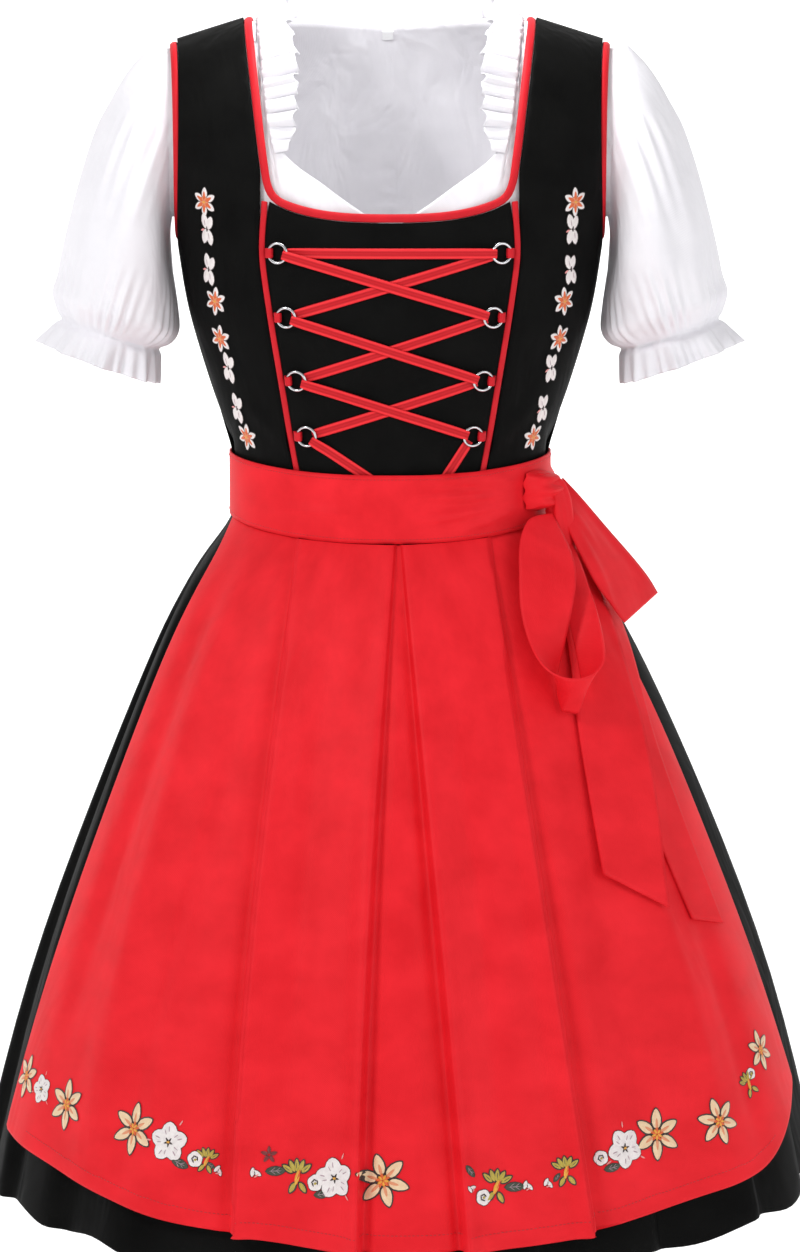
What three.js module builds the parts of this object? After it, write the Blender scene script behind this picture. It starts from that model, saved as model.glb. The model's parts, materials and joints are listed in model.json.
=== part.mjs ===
// A dirndl worn without its wearer: a white blouse with puffed sleeves, a black laced bodice with a pleated
// skirt, and a red apron tied at the side. Millimetres. +Z is up, the front faces -Y, and the origin lies
// between the shoulder seams, where the wearer's shoulders hold the garment.
import * as THREE from "three";

const HALF_TURN = Math.PI;
const QUARTER_TURN = Math.PI / 2;

// Cloth and seams
const BODICE_CLOTH = 1.6;
const BLOUSE_CLOTH = 1.0;
const BLOUSE_LIFT = -5; // outer face of the blouse, below the outer face of the bodice
const SKIRT_CLOTH = 1.3;
const APRON_CLOTH = 1.2;
const SASH_CLOTH = 1.4;
const SEAM_GAP = 0.35;

// How many stretches each curved seam is cut into, shared by the pieces that meet there
const ARM_ROWS = 9;
const LOW_NECK_ROWS = 6;
const SIDE_NECK_ROWS = 8;
const FRONT_NECK_ROWS = LOW_NECK_ROWS + SIDE_NECK_ROWS;
const BACK_NECK_ROWS = 9;
const SEAM_ROWS = 12;

// Levels of the figure
const WAIST_SEAM = -372;
const WAIST_DIP = 11; // how much lower the waist lies at the centre front
const ARMPIT = -172;
const SHOULDER_RISE = 171; // armpit to the middle of the shoulder seam
const SHOULDER_SLOPE = 0.328;
const SHOULDER_MIDDLE = 145;
const SLOPE_ROUNDING = 45; // keeps the slope smooth across the centre line
const YOKE_SPREAD = 45; // how much the chest section widens from armpit to shoulder
const TORSO_FULLNESS = 2.2; // 2 is an ellipse, more is squarer

// Half widths and depths of the bodice's outer face
const TORSO = [
  { z: -372, half: 125.5, front: 93.5, back: 80 },
  { z: -345, half: 127.6, front: 95.3, back: 82.3 },
  { z: -303, half: 142, front: 101, back: 88 },
  { z: -262, half: 155, front: 110, back: 92 },
  { z: -221, half: 166, front: 118, back: 96 },
  { z: -172, half: 173.5, front: 119.5, back: 99 },
];

// The front neckline from the centre to its corner and up to the shoulder, and the back one
const FRONT_NECK_LOW = [
  { x: 0, z: -150.5 },
  { x: 30, z: -150 },
  { x: 55, z: -147.5 },
  { x: 75, z: -143 },
  { x: 88, z: -138 },
  { x: 96, z: -133.5 },
];
const FRONT_NECK_SIDE = [
  { x: 96, z: -133.5 },
  { x: 98.2, z: -120 },
  { x: 101, z: -98 },
  { x: 103.5, z: -80 },
  { x: 106, z: -58 },
  { x: 109, z: -34 },
  { x: 112, z: -12 },
  { x: 115, z: 9 },
];
const BACK_NECK = [
  { x: 0, z: -70 },
  { x: 32, z: -68.5 },
  { x: 62, z: -63 },
  { x: 88, z: -50 },
  { x: 104, z: -32 },
  { x: 111, z: -12 },
  { x: 115, z: 9 },
];
// The piped seam from the waist to the neckline corner, carried on along the neckline's side
const PRINCESS = [
  { z: -384, x: 70 },
  { z: -354, x: 74.5 },
  { z: -325, x: 80 },
  { z: -289, x: 85.5 },
  { z: -245, x: 92.5 },
  { z: -207, x: 98 },
  { z: -175, x: 102 },
  { z: -155, x: 100.4 },
  { z: -135, x: 98 },
  { z: -126, x: 97 },
];
// The blouse's neck edge: a shallow V at the front, high and nearly level behind
const BLOUSE_FRONT_NECK = [
  { x: 0, z: -158 },
  { x: 16, z: -151 },
  { x: 34, z: -138 },
  { x: 54, z: -122 },
  { x: 76, z: -108 },
  { x: 92, z: -99 },
  { x: 96.5, z: -84 },
  { x: 99.5, z: -58 },
  { x: 102.5, z: -34 },
  { x: 105.5, z: -12 },
  { x: 108.5, z: 11 },
];
const BLOUSE_BACK_NECK = [
  { x: 0, z: 8 },
  { x: 32, z: 9 },
  { x: 62, z: 10.5 },
  { x: 88, z: 9 },
  { x: 100, z: 7.5 },
  { x: 108.5, z: 11 },
];
const BLOUSE_HEM = -258;
const TAB_SIZE = { x: -2, z: 1, width: 9, height: 7, stand: 1.6 };

// Bindings and piping
const NECK_BINDING = { width: 6.8, low: -2.0, high: 1.3 };
const ARMHOLE_BINDING = { width: 6.2, low: -2.0, high: 1.2 };
const CORNER_HEIGHT = -142; // where the side front seams and their piping meet the neckline's corners
const PRINCESS_PIPING = { width: 5.4, low: -1.6, high: 1.5 };

// Lacing
const RING = { radius: 7.7, wire: 1.1, lift: 2.8 };
const LACE = { width: 8.4, thickness: 0.9, under: 0.5, over: 4.25, crossing: 1.8, wireReach: 3.4 };
const TAB = { width: 7.6, thickness: 0.8 };
const RING_ROWS = [
  { name: "1", x: 87.5, z: -178 },
  { name: "2", x: 81, z: -228.5 },
  { name: "3", x: 73.2, z: -279 },
  { name: "4", x: 65.5, z: -324 },
];
// Where the lowest stretches end, hidden under the sash
const LACE_END = { left: { x: -10, z: -362 }, right: { x: 40, z: -364 } };

// Sleeves: the top and bottom of each ring as seen from the front, its half depth, and its gathers
const SLEEVE_COLUMNS = 4 * ARM_ROWS;
const SLEEVE_GATHERS = ARM_ROWS;
const SLEEVE_EXIT = 4.6; // how far the cloth runs straight out of the armhole before it puffs
const SLEEVE = [
  { outX: 190, outZ: -12, inX: 181, inZ: -170, depth: 55, gather: 1.2 },
  { outX: 209, outZ: -28, inX: 180, inZ: -188, depth: 66, gather: 1.8 },
  { outX: 232, outZ: -66, inX: 176.5, inZ: -206, depth: 73, gather: 1.2 },
  { outX: 252, outZ: -120, inX: 173.5, inZ: -224, depth: 74, gather: 1 },
  { outX: 266, outZ: -170, inX: 172, inZ: -240, depth: 70, gather: 1.4 },
  { outX: 273.5, outZ: -210, inX: 176.5, inZ: -254, depth: 60, gather: 2.6 },
  { outX: 270, outZ: -233, inX: 187, inZ: -263, depth: 44, gather: 2.2 },
  { outX: 276, outZ: -242, inX: 188, inZ: -274, depth: 46, gather: 3 },
  { outX: 285, outZ: -254, inX: 190, inZ: -288, depth: 50, gather: 4.4 },
];

// Neck frills
const FRILL = { width: 36, columns: 32, gathers: 8, gatherDepth: 3.2 };

// Skirt
const SKIRT_PLEATS = 20;
const SKIRT_FULLNESS = 2.08;
const SKIRT_HEM = -962;
const SKIRT_HEM_LIFT = 16; // how much higher the hem swings at the sides
const SKIRT_HEM_TILT = 9; // and how much more at the +X side
const SKIRT = [
  { z: -373, half: 125, front: 92.6, back: 79.4, lean: 0, pleat: 0.8 },
  { z: -399, half: 129, front: 96, back: 83, lean: 0, pleat: 1.2 },
  { z: -422, half: 151, front: 111, back: 98, lean: 1, pleat: 4 },
  { z: -446, half: 169, front: 127, back: 114, lean: 2, pleat: 6 },
  { z: -507, half: 202, front: 158, back: 147, lean: 5, pleat: 8.5 },
  { z: -569, half: 229.5, front: 183, back: 176, lean: 8, pleat: 10 },
  { z: -633, half: 257, front: 206, back: 203, lean: 9, pleat: 11 },
  { z: -721, half: 293, front: 235, back: 236, lean: 10, pleat: 12 },
  { z: -813, half: 325, front: 260, back: 263, lean: 12, pleat: 13 },
  { z: -900, half: 346, front: 279, back: 282, lean: 12, pleat: 14 },
  { z: -962, half: 357, front: 290, back: 292, lean: 12, pleat: 15 },
];

// Apron: fold lines from the sash to the hem. x is measured along the front, lift is out from the skirt.
const APRON_HEM = -934;
const APRON_HEM_LIFT = 49;
// The hem's corner at +X is drawn up from this angle on
const APRON_CORNER = { angle: 0.97, span: 0.24, lift: 40 };
const APRON_SIDE = [
  { share: 0, angle: 1.36 }, // angle of its side edges from the centre front
  { share: 0.07, angle: 1.14 },
  { share: 0.16, angle: 1.16 },
  { share: 0.3, angle: 1.2 },
  { share: 0.6, angle: 1.2 },
  { share: 1, angle: 1.25 },
];
const APRON_REST = 2.2; // clearance over the skirt
const APRON_FOLDS = [
  { topX: -72, hemX: -122, ease: 1.5, side: -1 },
  { topX: 3, hemX: -24, ease: 1.5, side: 1 },
  { topX: 10, hemX: 58, ease: 1.1, side: -1 },
  { topX: 78, hemX: 158, ease: 1, side: 1 },
];
const APRON_FOLD_RISE = { top: 2.2, hem: 10.5 };

// Sash and bow
const SASH = { top: -343, bottom: -394, half: 132.3, front: 99.8, back: 87 };
const SASH_DIP = { top: 12, bottom: 16 };
const KNOT = { angle: 1.085, z: -371.5, width: 19, height: 16.5, rise: 19 };
const SIDE_TAIL = [
  { z: -393, near: 1.31, far: 1.44, end: 0 },
  { z: -430, near: 1.27, far: 1.44, end: 0 },
  { z: -490, near: 0.99, far: 1.24, end: 0 },
  { z: -560, near: 0.88, far: 1.06, end: 0 },
  { z: -640, near: 0.86, far: 1.04, end: 2 },
  { z: -704, near: 0.9, far: 1.05, end: 9 },
];

const MATERIALS = {
  black: new THREE.MeshStandardMaterial({ color: 0x101010, roughness: 0.6, metalness: 0 }),
  red: new THREE.MeshStandardMaterial({ color: 0xe0202c, roughness: 0.55, metalness: 0 }),
  trim: new THREE.MeshStandardMaterial({ color: 0xc8202e, roughness: 0.45, metalness: 0 }),
  white: new THREE.MeshStandardMaterial({ color: 0xf4f2f6, roughness: 0.8, metalness: 0 }),
  metal: new THREE.MeshStandardMaterial({ color: 0x9a9ca0, roughness: 0.3, metalness: 1 }),
};

const dirndl = new THREE.Group();

const clamp = (value, low, high) => Math.min(high, Math.max(low, value));
const mix = (from, to, share) => from + (to - from) * share;
const signedPower = (value, power) => Math.sign(value) * Math.abs(value) ** power;

// A value of a table at a place between its rows, on a smooth curve that doesn't overshoot
function smooth(rows, at, key, place) {
  const rising = rows[rows.length - 1][at] > rows[0][at];
  const table = rising ? rows : [...rows].reverse();
  const last = table.length - 1;
  const p = clamp(place, table[0][at], table[last][at]);
  let i = 0;
  while (i < last - 1 && p > table[i + 1][at]) i++;
  const slope = (k) => (table[k + 1][key] - table[k][key]) / (table[k + 1][at] - table[k][at]);
  const tangent = (k) => {
    if (k === 0) return slope(0);
    if (k === last) return slope(last - 1);
    const before = slope(k - 1);
    const after = slope(k);
    return before * after <= 0 ? 0 : (2 * before * after) / (before + after);
  };
  const span = table[i + 1][at] - table[i][at];
  const s = (p - table[i][at]) / span;
  const start = (1 + 2 * s) * (1 - s) ** 2 * table[i][key] + s * (1 - s) ** 2 * span * tangent(i);
  const end = s * s * (3 - 2 * s) * table[i + 1][key] + s * s * (s - 1) * span * tangent(i + 1);
  return start + end;
}

// A closed surface point from its section: angle 0 is the centre front, a quarter turn the +X side
function sectionPoint(angle, half, front, back, fullness) {
  const x = half * signedPower(Math.sin(angle), 2 / fullness);
  const y = signedPower(Math.cos(angle), 2 / fullness);
  return { x, y: y > 0 ? -front * y : -back * y };
}

// The bodice's outer face. Level 0 is the waist seam, 1 the armpit and 2 the shoulder seam.
function torsoFace(angle, level) {
  if (level <= 1) {
    const z = mix(WAIST_SEAM, ARMPIT, level);
    const row = {
      half: smooth(TORSO, "z", "half", z),
      front: smooth(TORSO, "z", "front", z),
      back: smooth(TORSO, "z", "back", z),
    };
    const dip = WAIST_DIP * Math.max(0, Math.cos(angle)) ** 1.5 * (1 - level);
    const p = sectionPoint(angle, row.half, row.front, row.back, TORSO_FULLNESS);
    return new THREE.Vector3(p.x, p.y, z - dip);
  }
  const tilt = (level - 1) * QUARTER_TURN;
  const top = TORSO[TORSO.length - 1];
  const half = top.half + YOKE_SPREAD * Math.sin(tilt);
  const p = sectionPoint(angle, half, top.front * Math.cos(tilt), top.back * Math.cos(tilt), TORSO_FULLNESS);
  const out = Math.hypot(p.x, SLOPE_ROUNDING) - Math.hypot(SHOULDER_MIDDLE, SLOPE_ROUNDING);
  const z = ARMPIT + SHOULDER_RISE * Math.sin(tilt) - SHOULDER_SLOPE * Math.sin(tilt) ** 2 * out;
  return new THREE.Vector3(p.x, p.y, z);
}

// The unit normal of a surface given as face(angle, level), pointing out
function outward(face, angle, level, lowest, highest) {
  const step = 1e-3;
  const a = face(angle + step, level).sub(face(angle - step, level));
  const up = Math.min(highest, level + step);
  const down = Math.max(lowest, level - step);
  const b = face(angle, up).sub(face(angle, down));
  return a.cross(b).normalize();
}

function torso(angle, level, lift) {
  const safe = Math.min(level, 2 - 1e-4);
  return torsoFace(angle, level).addScaledVector(outward(torsoFace, angle, safe, 0, 2), lift);
}

// The angle and level of the torso point with this x and height, on the front or the back
function locate(x, z, back) {
  let low = 0;
  let high = 2;
  let angle = 0;
  for (let i = 0; i < 40; i++) {
    const level = (low + high) / 2;
    const at = mix(WAIST_SEAM, ARMPIT, Math.min(level, 1));
    const top = TORSO[TORSO.length - 1].half + YOKE_SPREAD * Math.sin(Math.max(0, level - 1) * QUARTER_TURN);
    const half = level <= 1 ? smooth(TORSO, "z", "half", at) : top;
    const ratio = clamp(x / half, -1, 1);
    angle = Math.asin(signedPower(ratio, TORSO_FULLNESS / 2));
    if (back) angle = HALF_TURN - angle;
    if (torsoFace(angle, level).z < z) low = level;
    else high = level;
  }
  return { angle, level: (low + high) / 2 };
}

// Points at even steps along a polyline of plain objects
function resample(points, count) {
  const keys = Object.keys(points[0]);
  const lengths = [0];
  for (let i = 1; i < points.length; i++) {
    const d = Math.hypot(...keys.map((k) => points[i][k] - points[i - 1][k]));
    lengths.push(lengths[i - 1] + d);
  }
  const total = lengths[lengths.length - 1];
  return Array.from({ length: count + 1 }, (_, n) => {
    const along = (total * n) / count;
    let i = 0;
    while (i < points.length - 2 && lengths[i + 1] < along) i++;
    const s = (along - lengths[i]) / (lengths[i + 1] - lengths[i]);
    return Object.fromEntries(keys.map((k) => [k, mix(points[i][k], points[i + 1][k], s)]));
  });
}

// A smooth curve through an open row of points, as plain objects
function curveThrough(points, count) {
  const is3d = "y" in points[0];
  const curve = new THREE.CatmullRomCurve3(
    points.map((p) => new THREE.Vector3(p.x, is3d ? p.y : 0, p.z)),
    false,
    "centripetal",
  );
  return curve.getSpacedPoints(count).map((p) => (is3d ? { x: p.x, y: p.y, z: p.z } : { x: p.x, z: p.z }));
}

// A closed solid from an outer and an inner grid of points. Each grid is a list of rows.
function shellSolid(outer, inner, around) {
  const rows = outer.length;
  const columns = outer[0].length;
  const positions = [];
  for (const grid of [outer, inner]) for (const row of grid) for (const p of row) positions.push(p.x, p.y, p.z);
  const at = (side, i, j) => side * rows * columns + i * columns + (j % columns);
  const faces = [];
  const quad = (a, b, c, d) => faces.push(a, b, c, a, c, d);
  const acrossCount = around ? columns : columns - 1;
  for (let i = 0; i < rows - 1; i++) {
    for (let j = 0; j < acrossCount; j++) {
      quad(at(0, i, j), at(0, i, j + 1), at(0, i + 1, j + 1), at(0, i + 1, j));
      quad(at(1, i, j), at(1, i + 1, j), at(1, i + 1, j + 1), at(1, i, j + 1));
    }
  }
  for (let j = 0; j < acrossCount; j++) {
    quad(at(0, 0, j), at(1, 0, j), at(1, 0, j + 1), at(0, 0, j + 1));
    quad(at(0, rows - 1, j), at(0, rows - 1, j + 1), at(1, rows - 1, j + 1), at(1, rows - 1, j));
  }
  if (!around) {
    for (let i = 0; i < rows - 1; i++) {
      quad(at(0, i, 0), at(0, i + 1, 0), at(1, i + 1, 0), at(1, i, 0));
      const j = columns - 1;
      quad(at(0, i, j), at(1, i, j), at(1, i + 1, j), at(0, i + 1, j));
    }
  }
  return facingOut(positions, faces);
}

// A solid swept along stations. Each station is a ring of points; open sweeps get flat ends.
function sweptSolid(stations, closed) {
  const size = stations[0].length;
  const positions = stations.flat().flatMap((p) => [p.x, p.y, p.z]);
  const faces = [];
  const at = (i, j) => (i % stations.length) * size + (j % size);
  const count = closed ? stations.length : stations.length - 1;
  for (let i = 0; i < count; i++) {
    for (let j = 0; j < size; j++) {
      faces.push(at(i, j), at(i, j + 1), at(i + 1, j + 1), at(i, j), at(i + 1, j + 1), at(i + 1, j));
    }
  }
  if (!closed) {
    for (let j = 1; j < size - 1; j++) {
      faces.push(at(0, 0), at(0, j + 1), at(0, j));
      const end = stations.length - 1;
      faces.push(at(end, 0), at(end, j), at(end, j + 1));
    }
  }
  return facingOut(positions, faces);
}

// A geometry whose faces point out, whichever way round its points were listed
function facingOut(positions, faces) {
  const corner = (k) => new THREE.Vector3().fromArray(positions, faces[k] * 3);
  let volume = 0;
  for (let k = 0; k < faces.length; k += 3) volume += corner(k).dot(corner(k + 1).cross(corner(k + 2)));
  if (volume < 0) faces.reverse();
  const geometry = new THREE.BufferGeometry();
  geometry.setAttribute("position", new THREE.Float32BufferAttribute(positions, 3));
  geometry.setIndex(faces);
  geometry.computeVertexNormals();
  return geometry;
}

function add(name, geometry, material) {
  const mesh = new THREE.Mesh(geometry, material);
  mesh.name = name;
  dirndl.add(mesh);
  return mesh;
}

// Outer and inner grids of a cloth whose outer grid is known: the inner one lies a thickness behind it
function thicken(outer, thickness, around, inwards) {
  const rows = outer.length;
  const columns = outer[0].length;
  const inner = outer.map((row, i) =>
    row.map((p, j) => {
      const left = around ? (j + columns - 1) % columns : Math.max(0, j - 1);
      const right = around ? (j + 1) % columns : Math.min(columns - 1, j + 1);
      const across = outer[i][right].clone().sub(outer[i][left]);
      const along = outer[Math.min(rows - 1, i + 1)][j].clone().sub(outer[Math.max(0, i - 1)][j]);
      return p.clone().addScaledVector(across.cross(along).normalize(), inwards * thickness);
    }),
  );
  return inner;
}

// A panel of the torso between four edges, each a row of { angle, level }
function torsoPanel(edges, lift, thickness) {
  const { left, right, bottom, top } = edges;
  const rows = left.length - 1;
  const columns = bottom.length - 1;
  const grid = (height) =>
    left.map((_, i) =>
      bottom.map((__, j) => {
        const u = j / columns;
        const v = i / rows;
        const blend = (key) => {
          const ruled = mix(left[i][key], right[i][key], u) + mix(bottom[j][key], top[j][key], v);
          const low = mix(bottom[0][key], bottom[columns][key], u);
          const high = mix(top[0][key], top[columns][key], u);
          return ruled - mix(low, high, v);
        };
        return torso(blend("angle"), blend("level"), height);
      }),
    );
  return shellSolid(grid(lift), grid(lift - thickness), false);
}

// Shifts a path of { angle, level } places across the torso, to the right of its course seen from outside
function shiftPath(places, distance, closed) {
  const step = 1e-3;
  const count = places.length;
  const points = places.map(({ angle, level }) => torsoFace(angle, level));
  return places.map(({ angle, level }, i) => {
    const before = points[closed ? (i + count - 1) % count : Math.max(0, i - 1)];
    const after = points[closed ? (i + 1) % count : Math.min(count - 1, i + 1)];
    const place = Math.min(level, 2 - 0.002);
    const here = torsoFace(angle, place);
    const acrossStep = torsoFace(angle + step, place).sub(here).divideScalar(step);
    const upStep = torsoFace(angle, place + step).sub(here).divideScalar(step);
    const normal = acrossStep.clone().cross(upStep).normalize();
    const way = after.clone().sub(before).cross(normal).normalize().multiplyScalar(distance);
    const aa = acrossStep.dot(acrossStep);
    const au = acrossStep.dot(upStep);
    const uu = upStep.dot(upStep);
    const wa = way.dot(acrossStep);
    const wu = way.dot(upStep);
    const det = aa * uu - au * au;
    return {
      angle: angle + (wa * uu - wu * au) / det,
      level: clamp(level + (wu * aa - wa * au) / det, 0, 2 - 0.001),
    };
  });
}

// The armhole's edge on one side of the garment: share 0 is the armpit, 1 the shoulder
function armhole(share, extra, back) {
  const start = Math.asin(clamp(extra / YOKE_SPREAD, 0, 1));
  const tilt = start + (QUARTER_TURN - start) * share ** 1.25;
  const top = TORSO[TORSO.length - 1].half;
  const x = top + extra + 2.5 * Math.sin(tilt - start) ** 2 - 3 * Math.sin(2 * (tilt - start));
  const half = top + YOKE_SPREAD * Math.sin(tilt);
  const angle = Math.asin(signedPower(clamp(x / half, 0, 1), TORSO_FULLNESS / 2));
  return { angle: back ? HALF_TURN - angle : angle, level: 1 + tilt / QUARTER_TURN };
}

// One armhole as a loop: from the armpit up the front to the shoulder and down the back
function armholeLoop(extra, half) {
  const side = (back) => spread(Array.from({ length: 81 }, (_, i) => armhole(i / 80, extra, back)), half);
  return [...side(false), ...side(true).slice(1, -1).reverse()];
}

// The front or back half of a panel's edge beside the armhole, from the armpit up to the shoulder
function armholeSeam(extra, distance, back) {
  const loop = shiftPath(armholeLoop(extra, ARM_ROWS), -distance, true);
  const side = back ? [{ ...loop[0] }, ...loop.slice(ARM_ROWS).reverse()] : loop.slice(0, ARM_ROWS + 1);
  side[0].angle = QUARTER_TURN + (back ? 1 : -1) * (SEAM_GAP / 2 / 173);
  side[0].level -= 0.004;
  const shoulder = loop[ARM_ROWS].angle;
  side[ARM_ROWS] = { angle: back ? HALF_TURN - shoulder : shoulder, level: 2 - 0.001 };
  return side;
}

// The neckline as a loop: the right half of the front, the back, and the left half of the front
function neckLoop() {
  const low = neckPlaces(FRONT_NECK_LOW, LOW_NECK_ROWS, false);
  const front = [...low, ...neckPlaces(FRONT_NECK_SIDE, SIDE_NECK_ROWS, false).slice(1)];
  const back = neckPlaces(BACK_NECK, BACK_NECK_ROWS, true).slice(0, -1).reverse();
  const right = [...front, ...back];
  const left = right.slice(1, -1).map(({ angle, level }) => ({ angle: 2 * HALF_TURN - angle, level }));
  return [...right, ...left.reverse()];
}

// The front and back halves of a panel's edge beside the neckline, each from the centre to the shoulder
function neckSeam(distance, back) {
  const loop = shiftPath(neckLoop(), distance, true);
  const shoulder = loop[FRONT_NECK_ROWS].angle;
  if (!back) {
    return [...loop.slice(0, FRONT_NECK_ROWS), { angle: shoulder, level: 2 - 0.001 }];
  }
  const side = loop.slice(FRONT_NECK_ROWS + 1, FRONT_NECK_ROWS + 1 + BACK_NECK_ROWS).reverse();
  return [...side, { angle: HALF_TURN - shoulder, level: 2 - 0.001 }];
}

// An even edge between two corners
function evenEdge(from, to, columns) {
  return Array.from({ length: columns + 1 }, (_, j) => ({
    angle: mix(from.angle, to.angle, j / columns),
    level: mix(from.level, to.level, j / columns),
  }));
}

// A row of torso points with the outward normal at each, mirrored to the -X side if asked
function pathOnTorso(places, mirrored) {
  return places.map(({ angle, level }) => {
    const turned = mirrored ? -angle : angle;
    return { turned, level, point: torso(turned, level, 0) };
  });
}

// A binding or piping along a row of torso places
function binding(places, shape, closed, mirrored) {
  const path = pathOnTorso(places, mirrored);
  const count = path.length;
  const half = shape.width / 2;
  const middle = (shape.low + shape.high) / 2;
  const profile = [
    { across: -half, lift: shape.low + 0.4 },
    { across: half, lift: shape.low + 0.4 },
    { across: half, lift: middle },
    { across: 0, lift: shape.high },
    { across: -half, lift: middle },
  ];
  const stations = path.map(({ turned, level, point }, i) => {
    const before = path[closed ? (i + count - 1) % count : Math.max(0, i - 1)].point;
    const after = path[closed ? (i + 1) % count : Math.min(count - 1, i + 1)].point;
    const normal = outward(torsoFace, turned, Math.min(level, 2 - 1e-4), 0, 2);
    const across = after.clone().sub(before).cross(normal).normalize();
    return profile.map((p) => point.clone().addScaledVector(across, p.across).addScaledVector(normal, p.lift));
  });
  return sweptSolid(stations, closed);
}

const sides = [
  { name: "left", sign: -1 },
  { name: "right", sign: 1 },
];
const mirrorAngles = (places) => places.map(({ angle, level }) => ({ angle: -angle, level }));
const onSide = (places, sign) => (sign < 0 ? mirrorAngles(places) : places);

// The front neckline's places, from the centre to the shoulder
function neckPlaces(points, count, back) {
  return spread(curveThrough(points, 120).map(({ x, z }) => locate(x, z, back)), count);
}

// Places at even steps along a path on the torso
function spread(places, count) {
  const spots = places.map(({ angle, level }) => {
    const { x, y, z } = torsoFace(angle, level);
    return { x, y, z, angle: angle / 50, level: level / 50 };
  });
  return resample(spots, count).map(({ angle, level }) => ({ angle: angle * 50, level: level * 50 }));
}

// The piped seam's places, shifted to one side of it
function princessSeam(distance) {
  const line = PRINCESS.map(({ x, z }) => ({ x, z }));
  const fine = curveThrough(line, 60).map(({ x, z }) => locate(x, z, false));
  const seam = resample(fine, SEAM_ROWS);
  seam[0].level = 0;
  return shiftPath(seam, distance, false);
}
const zOf = ({ angle, level }) => torsoFace(angle, level).z;
const xOf = ({ angle, level }) => torsoFace(angle, level).x;

function addPanel(name, edges, sign, lift, thickness, material) {
  const turned = Object.fromEntries(Object.entries(edges).map(([key, edge]) => [key, onSide(edge, sign)]));
  add(name, torsoPanel(turned, lift, thickness), material);
}

function sideFront({ name, sign }) {
  const columns = 6;
  const inset = PRINCESS_PIPING.width / 2 + SEAM_GAP;
  const neck = neckSeam(NECK_BINDING.width / 2 + SEAM_GAP, false);
  const seamX = smooth(PRINCESS, "z", "x", CORNER_HEIGHT) + inset + 0.5;
  const corner = crossing(neck, (p) => xOf(p) - seamX, LOW_NECK_ROWS);
  const seam = princessSeam(inset).filter((p) => zOf(p) < CORNER_HEIGHT);
  const left = [...seam, corner.place, ...neck.slice(corner.next)];
  const last = left.length - 1;
  const arm = armholeSeam(0, ARMHOLE_BINDING.width / 2 + 2 * SEAM_GAP, false);
  const low = { angle: QUARTER_TURN - SEAM_GAP / 2 / 126, level: 0 };
  const right = [...resample([low, arm[0]], last - ARM_ROWS), ...arm.slice(1)];
  const bottom = evenEdge(left[0], right[0], columns);
  const top = evenEdge(left[last], right[last], columns);
  addPanel("bodice_side_front_" + name, { left, right, bottom, top }, sign, 0, BODICE_CLOTH, MATERIALS.black);
}

// Where a row of places first passes a line, after a given place: past(place) is its distance beyond the line
function crossing(places, past, from) {
  let next = from;
  while (past(places[next]) <= 0) next++;
  const before = places[next - 1];
  const after = places[next];
  const share = past(before) / (past(before) - past(after));
  const between = (key) => mix(before[key], after[key], share);
  return { next, place: { angle: between("angle"), level: between("level") } };
}

function centreFront() {
  const inset = PRINCESS_PIPING.width / 2 + SEAM_GAP;
  const seam = princessSeam(-inset);
  const limit = (z) => smooth(PRINCESS, "z", "x", z) - inset - 0.6;
  const neck = neckSeam(NECK_BINDING.width / 2 + SEAM_GAP, false);
  const corner = crossing(neck, (p) => xOf(p) - limit(zOf(p)), 1);
  const halfTop = [...neck.slice(0, corner.next), corner.place];
  const right = [...seam.filter((p) => zOf(p) < zOf(corner.place) - 6), corner.place];
  const left = mirrorAngles(right);
  const top = [...mirrorAngles(halfTop).reverse(), ...halfTop.slice(1)];
  const edges = { left, right, bottom: evenEdge(left[0], right[0], top.length - 1), top };
  add("bodice_centre_front", torsoPanel(edges, 0, BODICE_CLOTH), MATERIALS.black);
}

function bodiceBack({ name, sign }) {
  const arm = armholeSeam(0, ARMHOLE_BINDING.width / 2 + 2 * SEAM_GAP, true);
  const low = { angle: QUARTER_TURN + SEAM_GAP / 2 / 126, level: 0 };
  const left = [...resample([low, arm[0]], 4), ...arm.slice(1)];
  const last = left.length - 1;
  const neck = neckSeam(NECK_BINDING.width / 2 + SEAM_GAP, true);
  const centre = (radius) => HALF_TURN - SEAM_GAP / 2 / radius;
  neck[0].angle = centre(60);
  const top = [...evenEdge(left[last], neck[BACK_NECK_ROWS], 2), ...neck.slice(0, -1).reverse()];
  const columns = top.length - 1;
  const chest = { angle: centre(60), level: 0.85 };
  const bottomEnd = { angle: centre(60), level: 0 };
  const right = [...evenEdge(bottomEnd, chest, 4), ...evenEdge(chest, top[columns], last - 4).slice(1)];
  const edges = { left, right, bottom: evenEdge(left[0], right[0], columns), top };
  addPanel("bodice_back_" + name, edges, sign, 0, BODICE_CLOTH, MATERIALS.black);
}

function bodiceTrim() {
  add("neck_binding", binding(neckLoop(), NECK_BINDING, true, false), MATERIALS.trim);
  for (const { name, sign } of sides) {
    const loop = binding(armholeLoop(0, ARM_ROWS), ARMHOLE_BINDING, true, sign < 0);
    add("armhole_binding_" + name, loop, MATERIALS.trim);
    const seam = princessSeam(0);
    const corner = locate(smooth(PRINCESS, "z", "x", CORNER_HEIGHT), CORNER_HEIGHT, false);
    const kept = [...seam.filter((p) => zOf(p) < CORNER_HEIGHT - 12), corner];
    add("princess_piping_" + name, binding(kept, PRINCESS_PIPING, false, sign < 0), MATERIALS.trim);
  }
}

// Blouse front halves meet at the centre; the V between them shows above the bodice
const BLOUSE_ARM = 4.4; // how far the blouse's shoulder reaches past the bodice's armhole

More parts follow.
